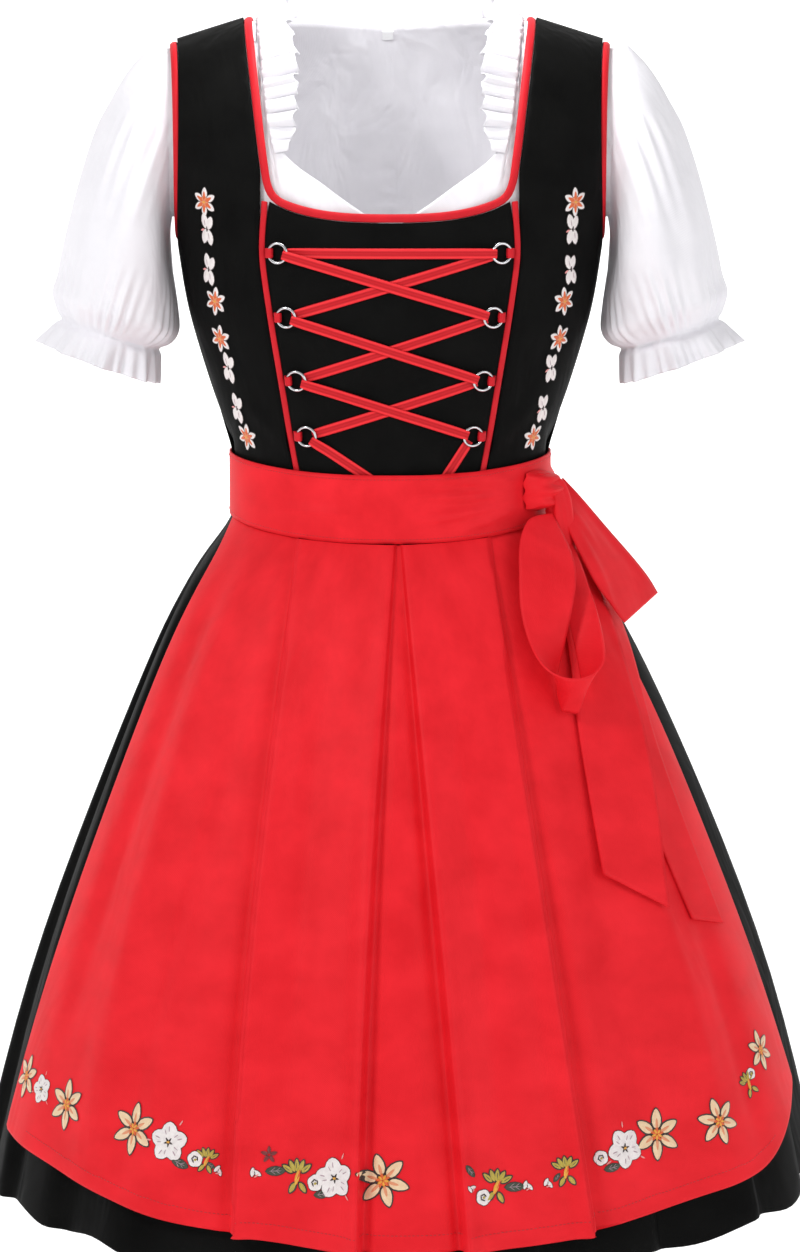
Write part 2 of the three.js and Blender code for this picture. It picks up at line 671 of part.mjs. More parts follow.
function blouseSide(back) {
  const hemLevel = (BLOUSE_HEM - WAIST_SEAM) / (ARMPIT - WAIST_SEAM);
  const arm = armholeSeam(BLOUSE_ARM, 0.4, back);
  const low = { angle: QUARTER_TURN + ((back ? 1 : -1) * SEAM_GAP) / 2 / 150, level: hemLevel };
  return [...evenEdge(low, arm[0], 2), ...arm.slice(1)];
}

function blouseFront({ name, sign }) {
  const columns = 10;
  const right = blouseSide(false);
  const last = right.length - 1;
  const neckRows = columns - 2;
  const neck = neckPlaces(BLOUSE_FRONT_NECK, neckRows, false);
  neck[neckRows].level = 2 - 0.001;
  neck[0].angle = SEAM_GAP / 2 / 119;
  const top = [...neck, ...evenEdge(neck[neckRows], right[last], 2).slice(1)];
  const low = { angle: top[0].angle, level: right[0].level };
  const chest = { angle: top[0].angle, level: 0.8 };
  const left = [...evenEdge(low, chest, 2), ...evenEdge(chest, top[0], last - 2).slice(1)];
  const edges = { left, right, bottom: evenEdge(left[0], right[0], columns), top };
  addPanel("blouse_front_" + name, edges, sign, BLOUSE_LIFT, BLOUSE_CLOTH, MATERIALS.white);
}

function blouseBack() {
  const left = blouseSide(true);
  const last = left.length - 1;
  const neckRows = 6;
  const neck = neckPlaces(BLOUSE_BACK_NECK, neckRows, true);
  neck[neckRows].level = 2 - 0.001;
  const halfTop = [...evenEdge(left[last], neck[neckRows], 2), ...neck.slice(0, -1).reverse()];
  const across = ({ angle, level }) => ({ angle: 2 * HALF_TURN - angle, level });
  const top = [...halfTop, ...halfTop.slice(0, -1).reverse().map(across)];
  const right = left.map(across);
  const edges = { left, right, bottom: evenEdge(left[0], right[0], top.length - 1), top };
  add("blouse_back", torsoPanel(edges, BLOUSE_LIFT, BLOUSE_CLOTH), MATERIALS.white);
}

// A small plain tab inside the back neck
function sizeTab() {
  const half = TAB_SIZE.width / 2;
  const place = (x, z) => locate(x + TAB_SIZE.x, z, true);
  const levels = [TAB_SIZE.z - TAB_SIZE.height, TAB_SIZE.z];
  const edges = {
    left: levels.map((z) => place(half, z)),
    right: levels.map((z) => place(-half, z)),
    bottom: [place(half, levels[0]), place(-half, levels[0])],
    top: [place(half, levels[1]), place(-half, levels[1])],
  };
  const lift = BLOUSE_LIFT - BLOUSE_CLOTH - TAB_SIZE.stand;
  add("size_tab", torsoPanel(edges, lift, 0.7), MATERIALS.white);
}

// A sleeve from the blouse's armhole to its frilled edge, gathered at the head and at the elastic
function sleeve({ name, sign }) {
  const around = SLEEVE_COLUMNS;
  const armEdge = armholeLoop(BLOUSE_ARM, ARM_ROWS).map(({ angle, level }) => {
    return torso(angle, Math.min(level, 2 - 0.001), BLOUSE_LIFT);
  });
  const head = Array.from({ length: around }, (_, j) => {
    const next = armEdge[(Math.floor(j / 2) + 1) % armEdge.length];
    return armEdge[Math.floor(j / 2)].clone().lerp(next, (j % 2) / 2);
  });
  const exit = head.map((p) => p.clone().add(new THREE.Vector3(SLEEVE_EXIT, 0, 0)));
  const angleOf = (p) => Math.atan2(-p.y / 56, (p.z - mix(-164, -11, 0.5)) / 77);
  const turns = head.map(angleOf);
  const rings = SLEEVE.map((row) => {
    const middle = new THREE.Vector3((row.outX + row.inX) / 2, 0, (row.outZ + row.inZ) / 2);
    const reach = new THREE.Vector3((row.outX - row.inX) / 2, 0, (row.outZ - row.inZ) / 2);
    return turns.map((turn, j) => {
      const wave = row.gather * Math.cos((2 * HALF_TURN * SLEEVE_GATHERS * j) / around);
      const along = Math.cos(turn);
      const deep = Math.sin(turn);
      const clear = along < -0.75 ? 0 : 1;
      const size = 1 + (wave * clear) / row.depth;
      return middle
        .clone()
        .addScaledVector(reach, along * size)
        .add(new THREE.Vector3(0, -row.depth * deep * size, 0));
    });
  });
  const outer = [head, exit, ...rings];
  const inner = thicken(outer, BLOUSE_CLOTH, true, 1);
  const turnSide = (grid) => grid.map((row) => row.map((p) => new THREE.Vector3(p.x * sign, p.y, p.z)));
  add("sleeve_" + name, shellSolid(turnSide(outer), turnSide(inner), true), MATERIALS.white);
}

// The gathered frill along the blouse's neck edge, from the front corner over the shoulder to the back
function neckFrill({ name, sign }) {
  const frontShare = 0.62;
  const frontColumns = Math.round(FRILL.columns * frontShare);
  const front = curveThrough(BLOUSE_FRONT_NECK.filter((p) => p.z > -100), frontColumns)
    .map(({ x, z }) => locate(x, z, false));
  const back = curveThrough(BLOUSE_BACK_NECK.filter((p) => p.x > 55), FRILL.columns - frontColumns)
    .map(({ x, z }) => locate(x, z, true));
  const places = [...front, ...back.reverse().slice(1)];
  const seam = places.map(({ angle, level }) => {
    const normal = outward(torsoFace, angle, Math.min(level, 2 - 0.02), 0, 2);
    return { point: torso(angle, Math.min(level, 2 - 0.001), BLOUSE_LIFT + 0.4 + BLOUSE_CLOTH), normal };
  });
  const outer = [0, 0.45, 1].map((share) =>
    seam.map(({ point, normal }, j) => {
      const along = j / FRILL.columns;
      const swell = Math.sin(HALF_TURN * clamp(along * 1.04 + 0.02, 0, 1)) ** 0.45;
      const reach = FRILL.width * swell * mix(1, 0.62, along);
      const wave = Math.cos(2 * HALF_TURN * FRILL.gathers * along) * FRILL.gatherDepth * share;
      const lean = new THREE.Vector3(-1, 0, 0.1 + 0.75 * along).normalize();
      const slack = 8 * share;
      return point
        .clone()
        .addScaledVector(lean, reach * share)
        .addScaledVector(normal, (wave + slack) * (0.3 + 0.7 * swell));
    }),
  );
  const inner = thicken(outer, BLOUSE_CLOTH, false, -1);
  const turnSide = (grid) => grid.map((row) => row.map((p) => new THREE.Vector3(p.x * sign, p.y, p.z)));
  add("neck_frill_" + name, shellSolid(turnSide(outer), turnSide(inner), false), MATERIALS.white);
}

// A point lifted off the bodice's front at a given x and height
function frontPoint(x, z, lift) {
  const { angle, level } = locate(x, z, false);
  return torso(angle, Math.max(0, level), lift);
}
function frontNormal(x, z) {
  const { angle, level } = locate(x, z, false);
  return outward(torsoFace, angle, level, 0, 2);
}

function ringAndTab({ name, sign }, row) {
  const centre = frontPoint(sign * row.x, row.z, RING.lift);
  const normal = frontNormal(sign * row.x, row.z);
  const ring = new THREE.TorusGeometry(RING.radius, RING.wire, 5, 12);
  const mesh = add("ring_" + name + "_" + row.name, ring, MATERIALS.metal);
  mesh.position.copy(centre);
  mesh.quaternion.setFromUnitVectors(new THREE.Vector3(0, 0, 1), normal);

  const seamX = smooth(PRINCESS, "z", "x", row.z) - PRINCESS_PIPING.width / 2 - SEAM_GAP;
  const run = seamX - row.x;
  const slotOuter = RING.radius + RING.wire + 0.3;
  const slotInner = Math.sqrt(RING.radius ** 2 - (TAB.width / 2) ** 2) - RING.wire - 0.5;
  const low = SEAM_GAP;
  const high = RING.lift + RING.wire + 0.3;
  const t = TAB.thickness;
  const points = (pairs) => pairs.map(([a, b]) => new THREE.Vector2(a, b));
  const shape = new THREE.Shape(
    points([
      [run, low],
      [slotInner, low],
      [slotInner - t, low + 0.7 * t],
      [slotInner - t, high],
      [slotInner, high + t],
      [slotOuter - 0.5, high + t],
      [run, low + 1.6 * t],
    ]),
  );
  const slot = points([
    [slotOuter, low + t],
    [slotOuter, high - 1],
    [slotOuter - 1.2, high],
    [slotInner, high],
    [slotInner, low + t],
  ]);
  shape.holes.push(new THREE.Path(slot));
  const tab = new THREE.ExtrudeGeometry(shape, { depth: TAB.width, bevelEnabled: false });
  tab.translate(0, 0, -TAB.width / 2);
  const outDirection = frontPoint(sign * (row.x + 6), row.z, 0).sub(frontPoint(sign * (row.x - 6), row.z, 0));
  outDirection.normalize();
  const third = outDirection.clone().cross(normal).normalize();
  const basis = new THREE.Matrix4().makeBasis(outDirection, normal, third);
  const placed = add("ring_tab_" + name + "_" + row.name, tab, MATERIALS.trim);
  placed.quaternion.setFromRotationMatrix(basis);
  placed.position.copy(frontPoint(sign * row.x, row.z, 0));
}

// A flat stretch of lace from one place on the bodice to another, each end over or under a ring's wire
function laceStretch(name, from, to, over, mid) {
  const steps = 6;
  const length = Math.hypot(to.x - from.x, to.z - from.z);
  const dirX = (to.x - from.x) / length;
  const dirZ = (to.z - from.z) / length;
  const startAt = from.ring ? RING.radius - LACE.wireReach : 0;
  const endAt = length - (to.ring ? RING.radius - LACE.wireReach : 0);
  const wireNear = LACE.wireReach + 3;
  const marks = [startAt, startAt + wireNear];
  for (let i = 1; i < steps; i++) marks.push(mix(startAt + wireNear, endAt - wireNear, i / steps));
  marks.push(endAt - wireNear, endAt);
  const liftAt = (i) => {
    const last = marks.length - 1;
    if (i <= 1 && from.ring) return over.start ? LACE.over : LACE.under;
    if (i >= last - 1 && to.ring) return over.end ? LACE.over : LACE.under;
    const s = (i - 1) / (last - 2);
    const low = mix(over.start ? LACE.crossing : LACE.under, over.end ? LACE.crossing : LACE.under, s);
    return Math.max(low, mid);
  };
  const points = marks.map((m) => ({ x: from.x + dirX * m, z: from.z + dirZ * m }));
  const stations = points.map(({ x, z }, i) => {
    const normal = frontNormal(x, z);
    const a = points[Math.max(0, i - 1)];
    const b = points[Math.min(points.length - 1, i + 1)];
    const along = frontPoint(b.x, b.z, 0).sub(frontPoint(a.x, a.z, 0)).normalize();
    const across = along.clone().cross(normal).normalize();
    const narrow = i === 0 || i === points.length - 1 ? 0.8 : 1;
    const w = (LACE.width / 2) * narrow;
    const lift = liftAt(i);
    const corner = (side, up) => frontPoint(x, z, up).addScaledVector(across, side * w);
    const top = lift + LACE.thickness;
    return [corner(-1, lift), corner(1, lift), corner(1, top), corner(-1, top)];
  });
  add(name, sweptSolid(stations, false), MATERIALS.red);
}

function lacing() {
  for (const side of sides) for (const row of RING_ROWS) ringAndTab(side, row);
  const at = (sign, row) => ({ x: sign * row.x, z: row.z, ring: true });
  const low = LACE.under;
  laceStretch("lace_top", at(-1, RING_ROWS[0]), at(1, RING_ROWS[0]), { start: false, end: true }, low);
  for (let k = 0; k < 3; k++) {
    const upper = RING_ROWS[k];
    const lower = RING_ROWS[k + 1];
    const both = (value) => ({ start: value, end: value });
    laceStretch("lace_over_" + (k + 1), at(-1, upper), at(1, lower), both(true), LACE.crossing);
    laceStretch("lace_under_" + (k + 1), at(1, upper), at(-1, lower), both(false), low);
  }
  const last = RING_ROWS[3];
  laceStretch("lace_end_left", at(-1, last), LACE_END.left, { start: true, end: false }, low);
  laceStretch("lace_end_right", at(1, last), LACE_END.right, { start: false, end: false }, low);
}

// The skirt's crest surface: level 0 is its top, 1 its hem
const skirtTop = (angle) => SKIRT[0].z - WAIST_DIP * Math.max(0, Math.cos(angle)) ** 1.5;
const skirtHem = (angle) => {
  const side = Math.sin(angle) ** 2;
  return SKIRT_HEM + side * (SKIRT_HEM_LIFT + (Math.sin(angle) > 0 ? SKIRT_HEM_TILT : 0));
};

function skirtSection(z) {
  const get = (key) => smooth(SKIRT, "z", key, z);
  return { half: get("half"), front: get("front"), back: get("back"), lean: get("lean"), pleat: get("pleat") };
}

// How far under the waist dip a height lies: the dip fades out below the sash
function undipped(angle, z) {
  const dip = WAIST_DIP * Math.max(0, Math.cos(angle)) ** 1.5;
  return z + dip * clamp((z + 470) / 60, 0, 1);
}

function skirtFace(angle, z, lift) {
  const row = skirtSection(undipped(angle, z));
  const grow = lift;
  const p = sectionPoint(angle, row.half + grow, row.front + grow, row.back + grow, SKIRT_FULLNESS);
  return new THREE.Vector3(p.x + row.lean, p.y, z);
}

// Knife pleats: each rises to its fold and steps back
const PLEAT_PROFILE = [
  { phase: 0, depth: 1 },
  { phase: 0.38, depth: 0.3 },
  { phase: 0.9, depth: 0 },
];

function skirt() {
  const levels = [0, 0.0454, 0.09, 0.15, 0.25, 0.45, 0.72, 1];
  const grid = (offset) =>
    levels.map((level) => {
      const row = [];
      for (let k = 0; k < SKIRT_PLEATS; k++) {
        for (const { phase, depth } of PLEAT_PROFILE) {
          const angle = ((k + phase) / SKIRT_PLEATS) * 2 * HALF_TURN;
          const z = mix(skirtTop(angle), skirtHem(angle), level);
          const pleat = skirtSection(undipped(angle, z)).pleat;
          row.push(skirtFace(angle, z, -pleat * depth - offset));
        }
      }
      return row;
    });
  add("skirt", shellSolid(grid(0), grid(SKIRT_CLOTH), true), MATERIALS.black);
}

const sashDip = (angle, drop) => drop * Math.max(0, Math.cos(angle)) ** 1.5;
const apronTop = (angle) => SASH.bottom - sashDip(angle, SASH_DIP.bottom) - SEAM_GAP;
const apronHem = (angle) => {
  const corner = clamp((angle - APRON_CORNER.angle) / APRON_CORNER.span, 0, 1);
  return APRON_HEM + APRON_HEM_LIFT * Math.sin(angle) ** 2 + APRON_CORNER.lift * corner;
};

// The angle on the skirt's front at which a given x lies
function skirtAngle(x, z) {
  const row = skirtSection(undipped(0, z));
  return Math.asin(signedPower(clamp((x - row.lean) / row.half, -1, 1), SKIRT_FULLNESS / 2));
}

// The apron's columns at a height: its angle and its lift, with a step at each fold line
function apronColumns(share, z) {
  const rise = mix(APRON_FOLD_RISE.top, APRON_FOLD_RISE.hem, share ** 0.6);
  const edge = smooth(APRON_SIDE, "share", "angle", share);
  const foldAngle = ({ topX, hemX, ease }) => skirtAngle(mix(topX, hemX, 1 - (1 - share) ** ease), z);
  const [first, second, third, fourth] = APRON_FOLDS.map(foldAngle);
  const tuck = 0.012;
  const columns = [];
  const run = (from, to, count, lift) => {
    for (let i = 0; i <= count; i++) columns.push({ angle: mix(from, to, i / count), lift: lift(i / count) });
  };
  const wing = (s) => APRON_REST + 0.35 * rise * Math.sin(s * HALF_TURN * 3) ** 2;
  run(-edge, first - tuck, 6, wing);
  run(first, second, 4, (s) => APRON_REST + rise * (1 - 0.25 * Math.sin(s * HALF_TURN)));
  run(second + tuck, third - tuck, 2, () => APRON_REST);
  run(third, fourth, 4, (s) => APRON_REST + rise * (1 - 0.25 * Math.sin(s * HALF_TURN)));
  run(fourth + tuck, edge, 6, (s) => wing(1 - s));
  return columns;
}

function apron() {
  const levels = [0, 0.045, 0.1, 0.2, 0.35, 0.55, 0.78, 1];
  const grid = (offset) =>
    levels.map((level) => {
      const guess = mix(apronTop(0), apronHem(0), level);
      return apronColumns(level, guess).map(({ angle, lift }) => {
        const z = mix(apronTop(angle), apronHem(angle), level);
        return skirtFace(angle, z, lift + APRON_CLOTH - offset);
      });
    });
  add("apron_skirt", shellSolid(grid(0), grid(APRON_CLOTH), false), MATERIALS.red);
}

function sashFace(angle, z, lift) {
  const p = sectionPoint(angle, SASH.half + lift, SASH.front + lift, SASH.back + lift, TORSO_FULLNESS);
  return new THREE.Vector3(p.x, p.y, z);
}

function sashBand() {
  const around = 40;
  const grid = (offset) =>
    [0, 0.5, 1].map((share) =>
      Array.from({ length: around }, (_, j) => {
        const angle = (j / around) * 2 * HALF_TURN;
        const top = SASH.top - sashDip(angle, SASH_DIP.top);
        const bottom = SASH.bottom - sashDip(angle, SASH_DIP.bottom);
        return sashFace(angle, mix(bottom, top, share), -offset);
      }),
    );
  add("sash_band", shellSolid(grid(0), grid(SASH_CLOTH), true), MATERIALS.red);
}

// A ribbon from stations that give its two long edges
function ribbon(name, stations, steps, columns) {
  const near = curveThrough(stations.map(({ ax, ay, az }) => ({ x: ax, y: ay, z: az })), steps);
  const far = curveThrough(stations.map(({ bx, by, bz }) => ({ x: bx, y: by, z: bz })), steps);
  const outer = near.map((a, i) =>
    Array.from({ length: columns + 1 }, (_, j) => {
      const s = j / columns;
      return new THREE.Vector3(mix(a.x, far[i].x, s), mix(a.y, far[i].y, s), mix(a.z, far[i].z, s));
    }),
  );
  add(name, shellSolid(outer, thicken(outer, SASH_CLOTH, false, 1), false), MATERIALS.red);
}

// The wrapped knot, seated on the sash
function knot() {
  const spot = (along, up, lift) => {
    const angle = KNOT.angle + along / 112;
    const p = sectionPoint(angle, SASH.half + lift, SASH.front + lift, SASH.back + lift, TORSO_FULLNESS);
    return new THREE.Vector3(p.x, p.y, KNOT.z + up);
  };
  const grid = (height) =>
    [-1, -0.8, -0.4, 0, 0.4, 0.8, 1].map((v) =>
      [-1, -0.85, -0.5, 0, 0.5, 0.85, 1].map((u) => {
        const dome = Math.sqrt(Math.max(0, 1 - u ** 4)) * Math.sqrt(Math.max(0, 1 - v ** 4));
        const lift = height ? 2.2 + (KNOT.rise - 2.2) * dome : SEAM_GAP;
        return spot(u * KNOT.width * (1 - 0.12 * v * v), v * KNOT.height * (1 - 0.12 * u * u), lift);
      }),
    );
  add("sash_knot", shellSolid(grid(true), grid(false), false), MATERIALS.red);
}

// The bow at the wearer's left: a loop that hangs to the front, a flat loop to the side, and two tails
function bow() {
  ribbon(
    "sash_loop_front",
    [
      { ax: 111, ay: -74, az: -391, bx: 131, by: -60, bz: -389 },
      { ax: 104, ay: -92, az: -407, bx: 143, by: -80, bz: -409 },
      { ax: 103, ay: -112, az: -431, bx: 149, by: -104, bz: -432 },
      { ax: 103.5, ay: -132, az: -457, bx: 146, by: -122, bz: -453 },
      { ax: 109, ay: -148, az: -478.5, bx: 139.5, by: -132, bz: -482 },
      { ax: 119, ay: -160, az: -497, bx: 132.5, by: -140, bz: -515 },
      { ax: 128, ay: -168, az: -504, bx: 134.5, by: -148, bz: -534 },
      { ax: 141, ay: -170, az: -508, bx: 141.5, by: -152, bz: -540 },
      { ax: 156, ay: -166, az: -507, bx: 149.5, by: -149, bz: -537 },
      { ax: 168.5, ay: -154, az: -498, bx: 152, by: -140, bz: -521 },
      { ax: 168.5, ay: -138, az: -481.5, bx: 148, by: -126, bz: -495 },
      { ax: 164, ay: -114, az: -459, bx: 140.5, by: -110, bz: -461 },
      { ax: 155, ay: -82, az: -431, bx: 133, by: -88, bz: -424 },
      { ax: 141, ay: -44, az: -396, bx: 117, by: -64, bz: -403 },
    ],
    26,
    2,
  );
  ribbon(
    "sash_loop_side",
    [
      { ax: 140, ay: -30, az: -364, bx: 137.7, by: -45, bz: -386 },
      { ax: 154.5, ay: -32, az: -379, bx: 143.5, by: -61, bz: -402 },
      { ax: 177, ay: -30, az: -406, bx: 160, by: -76, bz: -434 },
      { ax: 202, ay: -28, az: -435, bx: 178, by: -76, bz: -463 },
      { ax: 219, ay: -22, az: -458, bx: 189, by: -68, bz: -477 },
      { ax: 208, ay: -17, az: -446, bx: 181, by: -63, bz: -465 },
      { ax: 179, ay: -20, az: -413, bx: 161, by: -65, bz: -437 },
      { ax: 156.5, ay: -23, az: -385, bx: 147, by: -50, bz: -405 },
    ],
    16,
    2,
  );
  ribbon(
    "sash_tail_front",
    [
      { ax: 118, ay: -54.5, az: -394, bx: 130, by: -35, bz: -391 },
      { ax: 132, ay: -71, az: -428, bx: 160, by: -46, bz: -430 },
      { ax: 137, ay: -97, az: -457, bx: 174, by: -68, bz: -461 },
      { ax: 143, ay: -118, az: -486, bx: 187, by: -91, bz: -492 },
      { ax: 148, ay: -142, az: -541, bx: 203, by: -121, bz: -552 },
      { ax: 157, ay: -165, az: -598, bx: 212, by: -144, bz: -608 },
      { ax: 168, ay: -187, az: -660, bx: 221, by: -172, bz: -690 },
    ],
    9,
    2,
  );
  const spots = SIDE_TAIL.map(({ z, near, far, end }) => {
    const onSash = z > SASH.bottom;
    const face = onSash ? sashFace : skirtFace;
    const lift = onSash ? SEAM_GAP + SASH_CLOTH : APRON_REST + APRON_CLOTH + 4.2 + SASH_CLOTH;
    const a = face(near, z, lift);
    const b = face(far, z - end, lift);
    return { ax: a.x, ay: a.y, az: a.z, bx: b.x, by: b.y, bz: b.z };
  });
  ribbon("sash_tail_side", spots, 9, 2);
}

sides.forEach(sideFront);
centreFront();
sides.forEach(bodiceBack);
bodiceTrim();
sides.forEach(blouseFront);
blouseBack();
sizeTab();
sides.forEach(sleeve);
sides.forEach(neckFrill);
lacing();
skirt();
apron();
sashBand();
knot();
bow();

export default dirndl;
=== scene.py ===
import json
import math

import bmesh
import bpy
import numpy as np
from mathutils import Matrix, Vector
from mathutils.bvhtree import BVHTree

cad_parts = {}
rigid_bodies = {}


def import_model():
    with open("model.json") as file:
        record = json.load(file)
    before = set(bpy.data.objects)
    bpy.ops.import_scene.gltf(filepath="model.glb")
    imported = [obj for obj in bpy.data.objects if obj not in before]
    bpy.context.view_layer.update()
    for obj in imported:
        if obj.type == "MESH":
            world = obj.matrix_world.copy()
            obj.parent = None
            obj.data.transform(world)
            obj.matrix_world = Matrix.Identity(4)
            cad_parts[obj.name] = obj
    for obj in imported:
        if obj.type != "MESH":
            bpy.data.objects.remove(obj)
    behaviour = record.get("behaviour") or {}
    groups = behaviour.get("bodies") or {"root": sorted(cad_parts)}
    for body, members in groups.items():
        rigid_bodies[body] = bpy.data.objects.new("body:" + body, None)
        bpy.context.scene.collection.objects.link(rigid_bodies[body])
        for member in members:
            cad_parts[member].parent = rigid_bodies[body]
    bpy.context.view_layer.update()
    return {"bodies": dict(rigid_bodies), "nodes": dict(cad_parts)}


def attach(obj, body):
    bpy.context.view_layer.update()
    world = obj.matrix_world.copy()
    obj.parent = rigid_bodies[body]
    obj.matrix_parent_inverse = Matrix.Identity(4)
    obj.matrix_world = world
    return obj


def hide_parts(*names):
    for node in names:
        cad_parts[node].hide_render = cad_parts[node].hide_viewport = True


for leftover in list(bpy.data.objects):
    bpy.data.objects.remove(leftover)
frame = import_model()
nodes = frame["nodes"]
body = next(iter(frame["bodies"]))

# Driving sizes, in metres
MM = 0.001
CAMERA_PLACE = (0.0081, -3.2, -0.040)
CAMERA_TILT = 82  # degrees up from straight down
CAMERA_LENS = 112.5  # in mm
MERGE = 0.00001  # points closer than this are one
THREAD = 0.00075  # the cloth's thread spacing
NECK = (0, 0, 0)
WAIST = (0, 0, -0.372)
HEM = (0, 0, -0.962)
SIDES = (("left", -1), ("right", 1))
RING_ROWS = 4
RING_RADIUS = 0.0077  # to the middle of the wire
RING_WIRE = 0.00115  # half the wire's thickness


# Materials

SLUB_SCALE = 420  # uneven threads
SLUB_DEPTH = 0.4
CLOUD_SCALE = 26  # soft clouds of lighter cloth
CREASE_STRETCH = (1.0, 1.0, 0.45)  # creases run up and down
RIB = 0.0006  # the lacing ribbon's cross ribs
SILK = 0.00045  # one lay of embroidery thread


def new_group(name, inputs, outputs):
    """A shader node group with the kinds of its named inputs and outputs."""
    group = bpy.data.node_groups.new(name, "ShaderNodeTree")
    for side, sockets in (("INPUT", inputs), ("OUTPUT", outputs)):
        for socket, kind in sockets.items():
            group.interface.new_socket(socket, in_out=side, socket_type="NodeSocket" + kind)
    return group, group.nodes.new("NodeGroupInput"), group.nodes.new("NodeGroupOutput")


def feed(tree, node, inputs):
    """Fills a node's inputs: a socket is linked, a plain value is written, and None is left out."""
    for key, value in inputs.items():
        if isinstance(value, bpy.types.NodeSocket):
            tree.links.new(value, node.inputs[key])
        elif value is not None:
            node.inputs[key].default_value = value


def math_node(tree, operation, first, second=None):
    """A math node, each side a socket or a number, and its result."""
    node = tree.nodes.new("ShaderNodeMath")
    node.operation = operation
    feed(tree, node, {0: first, 1: second})
    return node.outputs[0]


def mix_colours(tree, factor, first, second):
    """A colour mix of two sockets or colours by a factor."""
    node = tree.nodes.new("ShaderNodeMix")
    node.data_type = "RGBA"
    feed(tree, node, {0: factor, 6: first, 7: second})
    return node.outputs[2]


def scaled(tree, value, factor, start):
    """A value times a factor, added to a start."""
    return math_node(tree, "ADD", math_node(tree, "MULTIPLY", value, factor), start)


def ripples(tree, value, spacing):
    """Even waves along a value, half a wave for each spacing."""
    return math_node(tree, "SINE", math_node(tree, "MULTIPLY", value, math.pi / spacing))


def noise(tree, vector, scale, detail, roughness=0.5):
    """A noise texture's value on a vector."""
    node = tree.nodes.new("ShaderNodeTexNoise")
    feed(tree, node, {"Vector": vector, "Scale": scale, "Detail": detail, "Roughness": roughness})
    return node.outputs["Fac"]


def axes_of(tree, vector):
    """The three axes of a vector."""
    node = tree.nodes.new("ShaderNodeSeparateXYZ")
    tree.links.new(vector, node.inputs[0])
    return node.outputs


def ramp(tree, value, stops):
    """A value remapped through greys at the given places."""
    node = tree.nodes.new("ShaderNodeValToRGB")
    elements = node.color_ramp.elements
    while len(elements) < len(stops):
        elements.new(0.5)
    for element, (place, grey) in zip(elements, stops):
        element.position = place
        element.color = (grey, grey, grey, 1)
    tree.links.new(value, node.inputs[0])
    return node.outputs[0]


def weave_group():
    """Plain weave: warp and weft threads that pass over and under, on the cloth's own UV map in metres."""
    group, enter, leave = new_group("plain weave", {"Place": "Vector"}, {"Height": "Float", "Shade": "Float"})
    warp, weft = (ripples(group, axis, THREAD) for axis in axes_of(group, enter.outputs["Place"])[:2])
    crossing = math_node(group, "MULTIPLY", warp, weft)
    slubs = noise(group, enter.outputs["Place"], SLUB_SCALE, 3, 0.6)
    uneven = math_node(group, "MULTIPLY", slubs, SLUB_DEPTH)
    group.links.new(scaled(group, crossing, 0.5, uneven), leave.inputs["Height"])
    clouds = noise(group, enter.outputs["Place"], CLOUD_SCALE, 4, 0.55)
    group.links.new(clouds, leave.inputs["Shade"])
    return group


def crumple_group():
    """Soft creases left by folding: long low ridges in two directions."""
    group, enter, leave = new_group("soft creases", {"Place": "Vector", "Size": "Float"}, {"Height": "Float"})
    stretched = group.nodes.new("ShaderNodeMapping")
    feed(group, stretched, {"Vector": enter.outputs["Place"], "Scale": CREASE_STRETCH})
    ridges = noise(group, stretched.outputs[0], enter.outputs["Size"], 3)
    ridges.node.inputs["Distortion"].default_value = 0.6
    group.links.new(ridges, leave.inputs["Height"])
    return group


WEAVE = weave_group()
CREASES = crumple_group()


def blank_material(name):
    """A material with its shader, ready for nodes."""
    material = bpy.data.materials.new(name)
    material.use_nodes = True
    shader = material.node_tree.nodes["Principled BSDF"]
    return material, material.node_tree, shader


def own_map(tree):
    """The piece's own UV map, in metres."""
    place = tree.nodes.new("ShaderNodeUVMap")
    place.uv_map = "cloth"
    return place.outputs[0]


def own_place(tree):
    """The place in the object's own frame."""
    return tree.nodes.new("ShaderNodeTexCoord").outputs["Object"]


def use_group(tree, group, place, **values):
    """A node group placed in a material, fed with a place and given its own values."""
    node = tree.nodes.new("ShaderNodeGroup")
    node.node_tree = group
    feed(tree, node, {"Place": place, **values})
    return node


def bump(tree, shader, height, strength, distance, before=None):
    """A bump that feeds the shader's normal, on top of an earlier one."""
    node = tree.nodes.new("ShaderNodeBump")
    feed(tree, node, {"Strength": strength, "Distance": distance, "Height": height, "Normal": before})
    tree.links.new(node.outputs[0], shader.inputs["Normal"])
    return node.outputs[0]


def cloth_material(name, colour, light, rough, crease, crease_size, gloss=0.22, sheen=0.0, sheen_tint=None):
    """Woven cloth: two close colours in soft clouds, a plain weave with painted shade where its threads lie
    low, and soft creases.
    """
    material, tree, shader = blank_material(name)
    weave = use_group(tree, WEAVE, own_map(tree))
    cloud = ramp(tree, weave.outputs["Shade"], ((0.32, 0.0), (0.7, 1.0)))
    threads = ramp(tree, weave.outputs["Height"], ((0.0, 0.0), (0.8, 1.0)))
    base = mix_colours(tree, cloud, colour, light)
    # Painted shade: the colour is darkened where the weave's threads lie low.
    dark = tuple(channel * 0.9 for channel in colour[:3]) + (1,)
    shaded = mix_colours(tree, math_node(tree, "MULTIPLY", threads, 0.5), dark, base)
    feed(tree, shader, {
        "Base Color": mix_colours(tree, 0.75, shaded, base),
        "Roughness": scaled(tree, cloud, 0.06, rough - 0.03),
        "Sheen Weight": sheen, "Sheen Roughness": 0.45, "Sheen Tint": sheen_tint,
        "Specular IOR Level": gloss,
    })
    creases = use_group(tree, CREASES, own_place(tree), Size=crease_size)
    first = bump(tree, shader, weave.outputs["Height"], 0.25, THREAD * 0.35)
    bump(tree, shader, creases.outputs["Height"], 1.0, crease, first)
    return material


